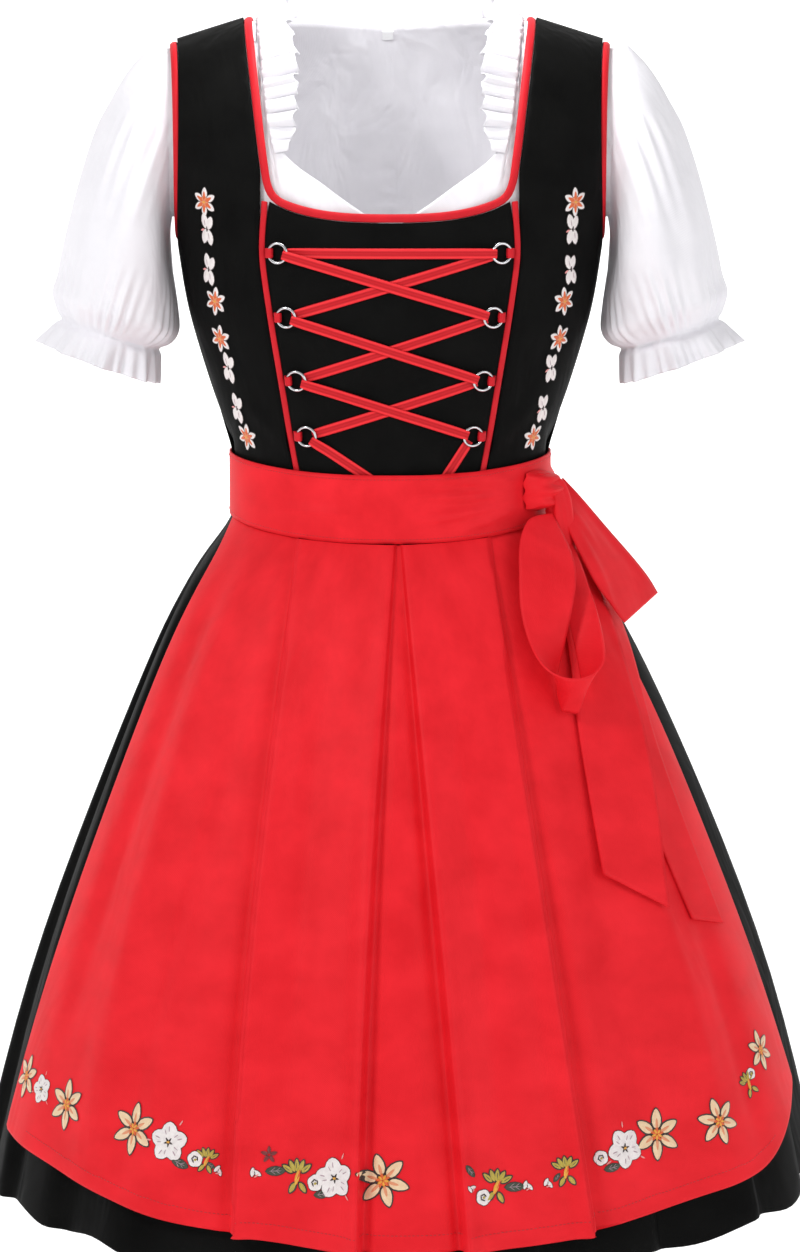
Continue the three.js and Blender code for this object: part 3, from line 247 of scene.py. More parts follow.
def satin_material(name, colour, light, rough):
    """Smooth trim: satin threads along its length, slightly shiny."""
    material, tree, shader = blank_material(name)
    place = own_place(tree)
    threads = noise(tree, place, 1600, 2)
    cloud = noise(tree, place, 60, 3)
    feed(tree, shader, {
        "Base Color": mix_colours(tree, cloud, colour, light),
        "Roughness": scaled(tree, threads, 0.15, rough),
        "Specular IOR Level": 0.2,
    })
    bump(tree, shader, threads, 0.3, 0.0002)
    return material


def ribbon_material(name):
    """Lacing ribbon: two ridges painted lighter as highlights beside a sunk middle painted darker as shade,
    from its own UV map across the width.
    """
    material, tree, shader = blank_material(name)
    across, along = axes_of(tree, own_map(tree))[:2]
    off_middle = math_node(tree, "ABSOLUTE", across)
    # The ridge ramp paints highlights on the two ridges and shade in the sunk middle and at the edges, and
    # also drives the bump.
    ridge = ramp(tree, off_middle, ((0.0, 0.25), (0.3, 0.0), (0.62, 1.0), (0.86, 0.9), (1.0, 0.1)))
    ribs = ripples(tree, along, RIB)
    base = mix_colours(tree, ridge, (0.46, 0.004, 0.010, 1), (0.86, 0.030, 0.038, 1))
    feed(tree, shader, {"Base Color": base, "Roughness": 0.5, "Specular IOR Level": 0.2})
    first = bump(tree, shader, ribs, 0.3, 0.00015)
    bump(tree, shader, ridge, 0.8, 0.0006, first)
    return material


def metal_material(name):
    """Nickel wire, polished, with faint rubbed streaks."""
    material, tree, shader = blank_material(name)
    streaks = noise(tree, own_place(tree), 900, 3)
    nickel = mix_colours(tree, streaks, (0.42, 0.42, 0.44, 1), (0.72, 0.72, 0.74, 1))
    rough = scaled(tree, streaks, 0.12, 0.16)
    feed(tree, shader, {"Base Color": nickel, "Roughness": rough, "Metallic": 1.0})
    bump(tree, shader, streaks, 0.1, 0.0001)
    return material


def thread_material(name, colour, dark):
    """Embroidery thread laid in satin stitch: fine parallel ridges with painted shade in the grooves between
    them, and a silky shine.
    """
    material, tree, shader = blank_material(name)
    place = own_map(tree)
    lines = ripples(tree, axes_of(tree, place)[0], SILK)
    # Painted shade: the darker colour falls in the grooves between the lays, mixed with random tone from the
    # noise.
    shade = scaled(tree, lines, 0.18, noise(tree, place, 220, 2))
    base = mix_colours(tree, shade, dark, colour)
    feed(tree, shader, {"Base Color": base, "Roughness": 0.42, "Sheen Weight": 0.15})
    bump(tree, shader, lines, 0.5, 0.0002)
    return material


def paper_material(name, glow):
    """Plain pale studio paper with an even glow."""
    material, tree, shader = blank_material(name)
    cloud = noise(tree, own_place(tree), 3, 2)
    paper = mix_colours(tree, cloud, (0.90, 0.90, 0.90, 1), (0.92, 0.92, 0.92, 1))
    feed(tree, shader, {
        "Base Color": paper, "Roughness": 0.9, "Emission Color": (1, 1, 1, 1), "Emission Strength": glow,
    })
    return material


BLACK = cloth_material(
    "black cotton", (0.003, 0.003, 0.0029, 1), (0.006, 0.006, 0.0057, 1),
    rough=0.62, crease=0.007, crease_size=15, gloss=0.04,
)
RED = cloth_material(
    "red cotton satin", (0.70, 0.008, 0.015, 1), (0.87, 0.017, 0.028, 1),
    rough=0.55, crease=0.004, crease_size=11, gloss=0.16, sheen=0.02, sheen_tint=(1, 0.3, 0.3, 1),
)
WHITE = cloth_material(
    "white cotton", (0.80, 0.785, 0.825, 1), (0.86, 0.845, 0.88, 1), rough=0.8, crease=0.005, crease_size=22
)
TRIM = satin_material("red bias binding", (0.46, 0.005, 0.012, 1), (0.66, 0.012, 0.022, 1), 0.5)
LACING = ribbon_material("red lacing ribbon")
NICKEL = metal_material("nickel ring")
# Embroidery threads: name, material, colour and the darker colour painted as shade between its lays
THREADS = {
    key: thread_material(name, (*colour, 1), (*dark, 1))
    for key, name, colour, dark in (
        ("cream", "cream thread", (0.88, 0.70, 0.46), (0.72, 0.45, 0.25)),
        ("peach", "peach thread", (0.82, 0.34, 0.17), (0.62, 0.20, 0.09)),
        ("white", "white thread", (0.90, 0.86, 0.84), (0.70, 0.62, 0.62)),
        ("mauve", "mauve thread", (0.50, 0.36, 0.40), (0.32, 0.22, 0.26)),
        ("gold", "golden thread", (0.88, 0.46, 0.05), (0.70, 0.28, 0.02)),
        ("orange", "orange thread", (0.80, 0.15, 0.02), (0.60, 0.08, 0.01)),
        ("olive", "olive thread", (0.62, 0.46, 0.06), (0.30, 0.24, 0.03)),
        ("green", "dark green thread", (0.045, 0.065, 0.035), (0.02, 0.03, 0.018)),
        ("pink", "pink thread", (0.85, 0.38, 0.36), (0.70, 0.22, 0.22)),
        ("wine", "wine thread", (0.22, 0.015, 0.018), (0.12, 0.008, 0.01)),
        ("dark", "dark outline thread", (0.030, 0.012, 0.010), (0.014, 0.006, 0.006)),
        ("seam", "red sewing thread", (0.50, 0.006, 0.012), (0.36, 0.004, 0.008)),
    )
}
LABEL = satin_material("plain woven label", (0.86, 0.86, 0.87, 1), (0.92, 0.92, 0.93, 1), 0.5)


# Cloth pieces on the solids' own form

FLAT_ANGLE = 50  # two triangles within this are joined
SQUARE_ANGLE = 75  # and when their corners are this near to square


def deselect():
    for thing in bpy.context.view_layer.objects:
        thing.select_set(False)


def apply_modifier(piece, kind, **settings):
    deselect()
    piece.select_set(True)
    bpy.context.view_layer.objects.active = piece
    modifier = piece.modifiers.new(kind.lower(), kind)
    for name, value in settings.items():
        setattr(modifier, name, value)
    bpy.ops.object.modifier_apply(modifier=modifier.name)


def corner_points(mesh):
    """The number of the point at each face corner."""
    corners = np.empty(len(mesh.loops), dtype=int)
    mesh.loops.foreach_get("vertex_index", corners)
    return corners


def lay_map(mesh, pairs):
    """Writes the cloth UV map: a pair for each face corner."""
    layer = mesh.uv_layers.get("cloth") or mesh.uv_layers.new(name="cloth")
    layer.data.foreach_set("uv", pairs.reshape(-1))


def new_mesh(name, points, faces, maps):
    """A mesh with its UV map given for each point."""
    mesh = bpy.data.meshes.new(name)
    mesh.from_pydata(points, [], faces)
    lay_map(mesh, np.array(maps)[corner_points(mesh)])
    return mesh


def grid_faces(rows, columns, first=0):
    """Faces of a grid of points that lie row after row."""
    return [(k, k + 1, k + columns + 1, k + columns)
            for row in range(rows - 1) for k in range(first + row * columns, first + (row + 1) * columns - 1)]


def softened(line, times):
    """A line of places with its corners rounded and its ends kept."""
    for _ in range(times):
        line[1:-1] = (line[:-2] + 2 * line[1:-1] + line[2:]) / 4
    return line


def link_piece(name, mesh, material, slot, *replaced):
    piece = bpy.data.objects.new(name, mesh)
    bpy.context.scene.collection.objects.link(piece)
    mesh.materials.clear()
    mesh.materials.append(material)
    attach(piece, body)
    if replaced:
        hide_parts(*replaced)
    return piece


def smooth_faces(piece):
    piece.data.polygons.foreach_set("use_smooth", [True] * len(piece.data.polygons))
    piece.data.update()


def dressed(node, name, material, slot, levels, fold_angle=50, fold_crease=1.0):
    """A cloth piece from a merged copy of its solid, in quads, its cut edges kept crisp, then subdivided."""
    mesh = nodes[node].data.copy()
    for extra in ("custom_normal", "sharp_face", "sharp_edge"):
        if extra in mesh.attributes:
            mesh.attributes.remove(mesh.attributes[extra])
    shape = bmesh.new()
    shape.from_mesh(mesh)
    bmesh.ops.remove_doubles(shape, verts=shape.verts, dist=MERGE)
    bmesh.ops.join_triangles(
        shape,
        faces=shape.faces,
        angle_face_threshold=math.radians(FLAT_ANGLE),
        angle_shape_threshold=math.radians(SQUARE_ANGLE),
    )
    crease = shape.edges.layers.float.get("crease_edge") or shape.edges.layers.float.new("crease_edge")
    for edge in shape.edges:
        if len(edge.link_faces) == 2 and edge.calc_face_angle() > math.radians(fold_angle):
            edge[crease] = fold_crease
    shape.to_mesh(mesh)
    shape.free()
    piece = link_piece(name, mesh, material, slot, node)
    apply_modifier(piece, "SUBSURF", levels=levels, render_levels=levels)
    smooth_faces(piece)
    return piece


def points_of(piece):
    flat = np.empty(len(piece.data.vertices) * 3)
    piece.data.vertices.foreach_get("co", flat)
    return flat.reshape(-1, 3)


def put_points(piece, points):
    piece.data.vertices.foreach_set("co", points.reshape(-1))
    piece.data.update()


def round_map(piece, start, end):
    """The cloth UV map, in metres: round an axis from start to end, and along it."""
    points = points_of(piece)
    axis = np.array(end) - np.array(start)
    length = np.linalg.norm(axis)
    axis = axis / length
    offset = points - np.array(start)
    along = offset @ axis
    across = offset - np.outer(along, axis)
    side = np.cross(axis, (0, -1, 0))
    side /= np.linalg.norm(side)
    front = np.cross(side, axis)
    angle = np.arctan2(across @ side, across @ front)
    radius = np.linalg.norm(across, axis=1).mean()
    corners = corner_points(piece.data)
    starts = np.empty(len(piece.data.polygons), dtype=int)
    piece.data.polygons.foreach_get("loop_start", starts)
    turns = angle[corners]
    first = np.repeat(turns[starts], np.diff(np.append(starts, len(corners))))
    turns = turns + 2 * math.pi * np.round((first - turns) / (2 * math.pi))
    lay_map(piece.data, np.column_stack((turns * radius, along[corners])))


def push_out(piece, amount):
    """Moves points level and away from the upright middle line by one amount, or by one for each."""
    points = points_of(piece)
    away = points[:, :2] / np.maximum(np.linalg.norm(points[:, :2], axis=1), 1e-6)[:, None]
    points[:, :2] += away * np.reshape(amount, (-1, 1))
    put_points(piece, points)


def crease_heights(angle, height, radius, creases):
    """The height of soft ridges and troughs that run between two places given as (degrees, millimetres)."""
    total = np.zeros(len(angle))
    for a0, z0, a1, z1, width, depth in creases:
        start = np.array((math.radians(a0), z0 * MM))
        end = np.array((math.radians(a1), z1 * MM))
        run = np.array(((end[0] - start[0]) * radius.mean(), end[1] - start[1]))
        u = (angle - start[0]) * radius
        v = height - start[1]
        length = max(np.linalg.norm(run), 1e-4)
        share = (u * run[0] + v * run[1]) / length**2
        inside = np.clip(share, 0, 1)
        off = np.hypot(u - inside * run[0], v - inside * run[1])
        taper = np.sin(np.pi * np.clip(inside * 0.9 + 0.05, 0, 1)) ** 0.7
        total += depth * MM * taper * np.exp(-((off / (width * MM)) ** 2))
    return total


def around(points):
    """Angle from the centre front towards +X, and distance from the middle line."""
    return np.arctan2(points[:, 0], -points[:, 1]), np.hypot(points[:, 0], points[:, 1])


def crease_piece(piece, creases, waves=()):
    """Adds the listed creases, and waves given as (count, phase, depth in mm, start height, end height)."""
    points = points_of(piece)
    angle, radius = around(points)
    amount = crease_heights(angle, points[:, 2], radius, creases)
    for count, phase, depth, start, end in waves:
        fade = np.clip((points[:, 2] - start) / (end - start), 0, 1) ** 1.5
        amount = amount + depth * MM * fade * np.sin(count * angle + phase)
    push_out(piece, amount)


# Skirt and apron

SKIRT_WAVES = (
    (7, 0.6, 5.5, -0.42, HEM[2]),
    (11, 2.1, 3.5, -0.50, HEM[2]),
    (3, 1.4, 3.5, -0.45, HEM[2]),
)
HEM_SWING = 0.0035  # how far the hem rises and falls with its pleats
HEM_SWING_START = -0.90
HEM_SWING_FADE = 0.04
SKIRT_CREASES = (
    (105, -420, 118, -760, 16, 4),
    (-105, -420, -116, -700, 16, 4),
    (150, -400, 156, -820, 18, -4),
    (-150, -400, -160, -800, 18, -4),
    (178, -420, 172, -700, 15, 3),
    (125, -500, 140, -900, 15, -4),
    (-128, -480, -138, -920, 15, 3.5),
)
# Apron folds and hollows beside the pleats: start and end as (degrees, mm), width and depth in mm
APRON_CREASES = (
    (-33, -430, -30, -700, 14, -2.7),
    (-50, -420, -52, -880, 20, 4.4),
    (-42, -560, -45, -900, 13, -3.7),
    (-60, -450, -62, -800, 12, -3.4),
    (-18, -470, -16, -920, 12, -3.1),
    (-6, -520, -4, -930, 9, 3.4),
    (6, -430, 9, -900, 8, -3.4),
    (16, -480, 18, -930, 12, -2.7),
    (40, -560, 44, -900, 16, -4.4),
    (52, -640, 54, -900, 14, 4.4),
    (60, -700, 60, -880, 10, -4.1),
    (34, -620, 36, -930, 10, 2.7),
)
# The apron's four pleats: x of the fold at its top and at the hem in mm, how it eases, and its raised side
APRON_FOLDS = ((-72, -122, 1.5, 1), (3, -24, 1.5, -1), (10, 58, 1.1, 1), (78, 158, 1.0, -1))
FOLD_TOP = -0.4104
FOLD_HEM = -0.934
FOLD_RIDGE = 5.6  # in mm at the hem
FOLD_HOLLOW = 4.8
FOLD_AT_TOP = 0.22  # the share of that at the waist


def press_folds(piece):
    """Sharpens the pleats: a ridge on the raised side of each fold and a hollow beside it."""
    points = points_of(piece)
    share = np.clip((points[:, 2] - FOLD_TOP) / (FOLD_HEM - FOLD_TOP), 0, 1)
    amount = np.zeros(len(points))
    for top, hem, ease, raised in APRON_FOLDS:
        line = top + (hem - top) * (1 - (1 - share) ** ease)
        off = (points[:, 0] / MM - line) * raised
        ridge = np.where(off > -1, np.exp(-(((off - 2) / 8) ** 2)), 0)
        hollow = np.where(off > -1, 0, np.exp(-(((off + 4) / 5) ** 2)))
        depth = MM * (FOLD_AT_TOP + (1 - FOLD_AT_TOP) * share)
        amount += depth * (FOLD_RIDGE * ridge - FOLD_HOLLOW * hollow)
    push_out(piece, amount)


def skirt():
    piece = dressed(
        "skirt", "skirt_cloth", BLACK, "black_cloth", 2, fold_angle=62, fold_crease=0.35
    )
    crease_piece(piece, SKIRT_CREASES, waves=SKIRT_WAVES)
    points = points_of(piece)
    angle, _ = around(points)
    low = np.clip((HEM_SWING_START - points[:, 2]) / HEM_SWING_FADE, 0, 1)
    swing = np.sin(20 * angle + 0.5 * np.sin(3 * angle)) + 0.5 * np.sin(7 * angle + 1)
    points[:, 2] += HEM_SWING * low * swing
    put_points(piece, points)
    round_map(piece, WAIST, HEM)


def apron():
    piece = dressed(
        "apron_skirt", "apron_cloth", RED, "red_cloth", 3, fold_angle=32, fold_crease=0.9
    )
    press_folds(piece)
    crease_piece(piece, APRON_CREASES, waves=SKIRT_WAVES)
    round_map(piece, WAIST, HEM)


# Bodice, blouse and sleeves

BACK_SEAM_REACH = 0.0014  # the centre back edges within this are drawn together
BACK_SEAM_GAP = 0.04  # the share of their gap that stays
BODICE_CREASES = (
    (-18, -250, -4, -232, 6, 1.7),
    (-20, -300, 8, -276, 6, -1.7),
    (-14, -345, 16, -318, 6, 1.7),
    (18, -262, 2, -285, 7, -1.5),
    (22, -330, 4, -352, 6, 1.7),
    (-50, -150, -62, -215, 9, -2.3),
    (48, -150, 60, -215, 9, -2.3),
    (-60, -300, -44, -345, 7, 2.1),
    (62, -295, 46, -342, 7, 2.1),
    (-75, -320, -95, -350, 7, -2.3),
    (75, -320, 95, -350, 7, -2.3),
    (150, -320, 178, -345, 8, 2.3),
    (-150, -310, -176, -340, 8, 2.3),
    (140, -150, 152, -260, 9, -1.9),
    (-142, -150, -154, -250, 9, -1.9),
)
BLOUSE_CREASES = (
    (-40, -128, -10, -176, 6, 1.4),
    (42, -126, 14, -170, 6, 1.4),
    (-28, -120, -44, -160, 5, -1.2),
    (30, -118, 44, -150, 5, -1.2),
    (168, -40, 160, -190, 8, 2.0),
    (-168, -40, -158, -190, 8, 2.0),
    (180, -60, 184, -200, 9, -1.6),
    (150, -80, 146, -200, 7, -1.6),
    (-150, -80, -146, -200, 7, -1.6),
)


def bodice():
    for node in ("bodice_centre_front", "bodice_side_front_left", "bodice_side_front_right",
                 "bodice_back_left", "bodice_back_right"):
        piece = dressed(node, node + "_cloth", BLACK, "black_cloth", 2)
        crease_piece(piece, BODICE_CREASES)
        if node.startswith("bodice_back"):
            points = points_of(piece)
            seam = (np.abs(points[:, 0]) < BACK_SEAM_REACH) & (points[:, 1] > 0)
            points[seam, 0] *= BACK_SEAM_GAP
            put_points(piece, points)
        round_map(piece, WAIST, NECK)


def blouse():
    for node in ("blouse_front_left", "blouse_front_right", "blouse_back"):
        piece = dressed(node, node + "_cloth", WHITE, "white_cloth", 2)
        crease_piece(piece, BLOUSE_CREASES)
        round_map(piece, WAIST, NECK)


SLEEVE_TOP = (0.176, 0.0, -0.075)
SLEEVE_END = (0.236, 0.0, -0.268)
# Fine gathers: folds round the sleeve, uneven partner, depth in mm, where they start, peak and end along it
SLEEVE_GATHERS = (
    (34, 5, 2.0, 0.0, 0.10, 0.5),
    (9, 4, 2.6, 0.1, 0.5, 0.86),
    (40, 7, 2.3, 0.58, 0.84, 0.90),
    (27, 3, 3.2, 0.88, 1.06, 1.3),
    (44, 5, 1.8, 0.90, 1.08, 1.3),
)
# The elastic, the puff above it and the flared cuff: place and width as shares of the axis, depth in mm
ELASTIC, ELASTIC_WIDTH, ELASTIC_PINCH = 0.894, 0.017, 4.5
PUFF, PUFF_WIDTH, PUFF_RISE = 0.804, 0.045, 3.5
FLARE, FLARE_LENGTH, FLARE_RISE = 0.914, 0.1, 2.2
ARMHOLE = 0.166  # the sleeve is left as it is inside this x
ARMHOLE_FADE = 0.02


def sleeve(name, sign):
    piece = dressed("sleeve_" + name, "sleeve_" + name + "_cloth", WHITE, "white_cloth", 3)
    points = points_of(piece)
    top = np.array(SLEEVE_TOP) * (sign, 1, 1)
    axis = np.array(SLEEVE_END) * (sign, 1, 1) - top
    share = (points - top) @ axis / (axis @ axis)
    away = points - (top + np.outer(share, axis))
    away /= np.maximum(np.linalg.norm(away, axis=1), 1e-6)[:, None]
    angle = np.arctan2(away[:, 0] * sign, -away[:, 1])
    amount = np.zeros(len(points))
    for count, partner, depth, start, peak, end in SLEEVE_GATHERS:
        rise = np.clip((share - start) / (peak - start), 0, 1)
        fall = np.clip((end - share) / (end - peak), 0, 1)
        uneven = 0.55 + 0.45 * np.sin(partner * angle + 1.3 * count)
        amount += depth * MM * rise * fall * uneven * np.sin(count * angle + 2.2 * np.sin(3 * angle))
    amount -= ELASTIC_PINCH * MM * np.exp(-(((share - ELASTIC) / ELASTIC_WIDTH) ** 2))
    amount += PUFF_RISE * MM * np.exp(-(((share - PUFF) / PUFF_WIDTH) ** 2))
    amount += FLARE_RISE * MM * np.clip((share - FLARE) / FLARE_LENGTH, 0, 1)
    outside = np.clip((points[:, 0] * sign - ARMHOLE) / ARMHOLE_FADE, 0, 1)
    put_points(piece, points + away * (amount * outside)[:, None])
    round_map(piece, top, top + axis)


# The neck frill on the +X side, in mm: places along its seam, each with the free edge's place beside it
FRILL_LINE = (
    ((91, -95, -100), (82, -100, -98)),
    ((94, -92, -89), (76, -95, -86)),
    ((97, -86, -73), (74, -92, -66)),
    ((99, -78, -57), (74, -88, -45)),
    ((101, -70, -41), (74, -76, -26)),
    ((103, -58, -24), (77, -61, -10)),
    ((105, -41, -8), (82, -46, 10)),
    ((108, 0, 7), (88, -1, 30)),
    ((97, 21, 4), (80, 24, 22)),
    ((85, 24, 6), (72, 26, 19)),
    ((73, 27, 7), (67, 30, 16)),
    ((61, 31, 8), (62, 33, 10)),
)
FRILL_COLUMNS = 420
FRILL_ROWS = 14
FRILL_LENGTH = 0.28  # how long the strip was before it was gathered
FRILL_WIDTH = 0.034
FRILL_LIFT = 0.0015  # how far its free edge stands off
FRILL_CLOTH = 0.0007
# Gathers along the seam: count, phase, depth in mm, and how soon each opens out towards the free edge
FRILL_GATHERS = ((21, 0.4, 2.4, 0.6), (13, 1.9, 1.9, 1.0), (39, 0.9, 0.9, 0.4))


def even_line(places):
    """Many even places along a row of a few."""
    lengths = np.append(0, np.cumsum(np.linalg.norm(np.diff(places, axis=0), axis=1)))
    along = np.linspace(0, lengths[-1], FRILL_COLUMNS)
    line = np.column_stack([np.interp(along, lengths, places[:, axis]) for axis in range(3)])
    return softened(line, 60)


def neck_frill(name, sign):
    """A gathered ruffle: fine folds at the neck seam that open out to a wavy free edge."""
    table = np.array(FRILL_LINE) * MM
    table[:, :, 0] *= sign
    seam = even_line(table[:, 0])
    edge = even_line(table[:, 1])
    run = np.gradient(seam, axis=0)
    run /= np.linalg.norm(run, axis=1)[:, None]
    lift = np.cross(edge - seam, run) * sign
    lift /= np.linalg.norm(lift, axis=1)[:, None]
    place = np.linspace(0, 2 * math.pi, FRILL_COLUMNS)
    fade = np.clip(np.minimum(place, 2 * math.pi - place) / 0.5, 0.25, 1)
    points, maps = [], []
    for row in range(FRILL_ROWS + 1):
        t = row / FRILL_ROWS
        wave = np.zeros(FRILL_COLUMNS)
        lean = np.zeros(FRILL_COLUMNS)
        for count, phase, depth, opening in FRILL_GATHERS:
            turn = count * place + phase + 0.9 * np.sin(3 * place + phase) + 0.5 * t * np.sin(5 * place)
            size = depth * MM * (0.25 + 0.75 * t**opening) * fade
            wave += size * np.sin(turn)
            lean += 0.4 * size * np.cos(turn)
        reach = t * (1 + 0.04 * t * np.sin(13 * place + 1) + 0.015 * t * np.sin(29 * place))
        out = lift * (wave + FRILL_LIFT * t)[:, None]
        points += [tuple(p) for p in seam + (edge - seam) * reach[:, None] + out + run * lean[:, None]]
        maps += [(a / (2 * math.pi) * FRILL_LENGTH, t * FRILL_WIDTH) for a in place]
    node = "neck_frill_" + name
    mesh = new_mesh(node + "_cloth", points, grid_faces(FRILL_ROWS + 1, FRILL_COLUMNS), maps)
    piece = link_piece(node + "_cloth", mesh, WHITE, "white_cloth", node)
    apply_modifier(piece, "SOLIDIFY", thickness=FRILL_CLOTH, offset=0)
    smooth_faces(piece)


# Sash and bow

SASH_CREASES = (
    (8, -353, 57, -367, 4, 3.8),
    (14, -364, 57, -371, 3, -0.7),
    (12, -372, 58, -373, 3.5, 4.2),
    (18, -381, 57, -376, 3, -0.7),
    (10, -392, 57, -379, 4, 4.2),
    (30, -400, 58, -383, 3.5, 3.5),
    (32, -352, 58, -363, 3, 3.5),
    (-46, -356, -8, -362, 6, 2.1),
    (-52, -384, -16, -388, 6, 2.1),
    (76, -366, 112, -360, 4, 3.5),
    (76, -377, 116, -379, 4, 3.2),
    (-120, -360, -160, -368, 6, 1.9),
    (130, -372, 168, -366, 6, 1.9),
)
KNOT_CREASES = (
    (56, -359, 80, -361, 2.6, 1.8),
    (56, -366, 80, -365, 2.4, -1.5),
    (55, -371, 81, -369, 3.0, 2.4),
    (56, -377, 80, -375, 2.4, -1.8),
    (57, -383, 78, -381, 3.0, 2.2),
)
# Folds that spread from the knot down the loops and tails
LOOP_CREASES = (
    (58, -392, 46, -440, 4, 1.5),
    (64, -394, 56, -450, 4, -1.6),
    (72, -372, 72, -420, 4, 1.8),
    (76, -372, 80, -440, 5, -1.8),
    (70, -390, 66, -470, 4, 1.8),
    (66, -420, 60, -560, 6, -1.5),
    (56, -500, 53, -640, 8, 1.6),
)
TAIL_SETTLE = 0.0024  # how far the side tail is drawn in against the apron
# The strand of sash that comes out of the knot behind the front loop: its course in mm and its half width
STRAND = (
    ((121, -55, -357), 8), ((131, -49, -363), 12), ((136, -46, -378), 13), ((138, -50, -394), 13),
    ((140, -56, -410), 12), ((143, -64, -428), 9),
)
STRAND_STEPS = 40
STRAND_ROUND = 36  # points round it
STRAND_OUT = Vector((0.9, -0.43, 0)) * 0.75  # the way it faces, where it is flatter
STRAND_WIDE = Vector((0.43, 0.9, 0))


def strand():
    """A bunched strand of the sash from the knot to the loops: a flattened roll with lengthwise folds."""
    course = np.array([place for place, _ in STRAND]) * MM
    widths = np.array([width for _, width in STRAND]) * MM
    steps = np.linspace(0, len(STRAND) - 1, STRAND_STEPS)
    spots = np.arange(len(STRAND))
    line = np.column_stack([np.interp(steps, spots, course[:, axis]) for axis in range(3)])
    half = np.interp(steps, spots, widths)
    points, faces = [], []
    for index, place in enumerate(softened(line, 12)):
        for k in range(STRAND_ROUND):
            turn = 2 * math.pi * k / STRAND_ROUND
            fold = 1 + 0.10 * math.sin(5 * turn + index * 0.06) + 0.05 * math.sin(9 * turn)
            out = STRAND_OUT * math.cos(turn) + STRAND_WIDE * math.sin(turn)
            points.append(Vector(place) + out * (half[index] * fold))
    for first in range(0, len(points) - STRAND_ROUND, STRAND_ROUND):
        for k in range(STRAND_ROUND):
            a, b = first + k, first + (k + 1) % STRAND_ROUND
            faces.append((a, b, b + STRAND_ROUND, a + STRAND_ROUND))
    faces.append(tuple(range(STRAND_ROUND))[::-1])
    faces.append(tuple(range(len(points) - STRAND_ROUND, len(points))))
    mesh = bpy.data.meshes.new("sash_strand_cloth")
    mesh.from_pydata(points, [], faces)
    piece = link_piece("sash_strand_cloth", mesh, RED, "red_cloth")
    smooth_faces(piece)
    round_map(piece, WAIST, HEM)


def sash():
    for node, creases in (
        ("sash_band", SASH_CREASES), ("sash_knot", KNOT_CREASES), ("sash_loop_front", LOOP_CREASES),
        ("sash_loop_side", LOOP_CREASES), ("sash_tail_front", LOOP_CREASES), ("sash_tail_side", LOOP_CREASES),
    ):
        piece = dressed(node, node + "_cloth", RED, "red_cloth", 3)
        crease_piece(piece, creases)
        if node == "sash_tail_side":
            push_out(piece, -TAIL_SETTLE)
        round_map(piece, WAIST, HEM)
    strand()


# Bindings, piping, lacing and rings

PIPING_TOP = -0.150
PIPING_FADE = 0.006
PIPING_REACH = 0.0045  # how far its top end goes up under the neck binding
RING_PLACES = ["%s_%d" % (side, row) for side, _ in SIDES for row in range(1, RING_ROWS + 1)]


def trims():
    sewn = [kind + side for side, _ in SIDES for kind in ("armhole_binding_", "princess_piping_")]
    for node in ["neck_binding"] + sewn:
        piece = dressed(node, node + "_satin", TRIM, "trim", 2, fold_angle=80, fold_crease=0.6)
        if node.startswith("princess"):
            points = points_of(piece)
            points[:, 2] += PIPING_REACH * np.clip((points[:, 2] - PIPING_TOP) / PIPING_FADE, 0, 1)
            put_points(piece, points)
    for node in ["ring_tab_" + place for place in RING_PLACES]:
        dressed(node, node + "_satin", TRIM, "trim", 2, fold_crease=0.7)


def lacing():
    for node in [name for name in nodes if name.startswith("lace_")]:
        piece = dressed(node, node + "_ribbon", LACING, "lacing", 2, fold_crease=0.9)
        points = points_of(piece)
        flat = points[:, [0, 2]] - points[:, [0, 2]].mean(0)
        along = np.linalg.svd(flat, full_matrices=False)[2][0]
        run = flat @ along
        across = flat @ np.array((-along[1], along[0]))
        across = across - np.polyval(np.polyfit(run, across, 2), run)
        across = across / np.abs(across).max()
        lay_map(piece.data, np.column_stack((across, run))[corner_points(piece.data)])


def rings():
    for node in ["ring_" + place for place in RING_PLACES]:
        wire = np.array([vertex.co for vertex in nodes[node].data.vertices])
        centre = wire.mean(0)
        normal = Vector(np.linalg.svd(wire - centre, full_matrices=False)[2][2])
        deselect()
        bpy.ops.mesh.primitive_torus_add(
            major_radius=RING_RADIUS, minor_radius=RING_WIRE, major_segments=48, minor_segments=14
        )
        piece = bpy.context.active_object
        turn = Vector((0, 0, 1)).rotation_difference(normal).to_matrix().to_4x4()
        piece.data.transform(Matrix.Translation(centre) @ turn)
        piece.name = node + "_wire"
        piece.data.materials.append(NICKEL)
        smooth_faces(piece)
        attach(piece, body)
        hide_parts(node)


# Embroidery: each motif is drawn flat from satin stitch pads, in millimetres, then laid on the cloth

# A pad is its thread, middle x and y, length, width, turn in degrees, height and bluntness. Its own grid:
PAD_STATIONS = (0.0, 0.12, 0.32, 0.55, 0.78, 0.93, 1.0)
PAD_ACROSS = (-1.0, -0.6, 0.0, 0.6, 1.0)


def turned(x, y, degrees):
    """A place turned about the middle."""
    c, s = math.cos(math.radians(degrees)), math.sin(math.radians(degrees))
    return x * c - y * s, x * s + y * c


def pad_grid(length, width, blunt):
    """A satin stitch pad's points: along, across and a domed height from 0 to 1."""
    points = []
    for t in PAD_STATIONS:
        half = width / 2 * math.sin(math.pi * t**blunt) ** 0.6
        for v in PAD_ACROSS:
            points.append(((t - 0.5) * length, v * half, (1 - v * v) * min(1, 5 * half / width)))
    return points


def outlined(pads, margin=2.1):
    """Pads on a dark outline: each gets a wider, lower pad beneath it."""
    return [("dark", x, y, length + margin, width + margin, turn, 0.12, blunt)
            for _, x, y, length, width, turn, _, blunt in pads] + pads


def petals(thread, count, near, length, width, first, height=0.7, blunt=0.8):
    """Pads set like rays round a middle."""
    turns = [first + 360 / count * k for k in range(count)]
    return [(thread, *turned(near + length / 2, 0, turn), length, width, turn, height, blunt)
            for turn in turns]


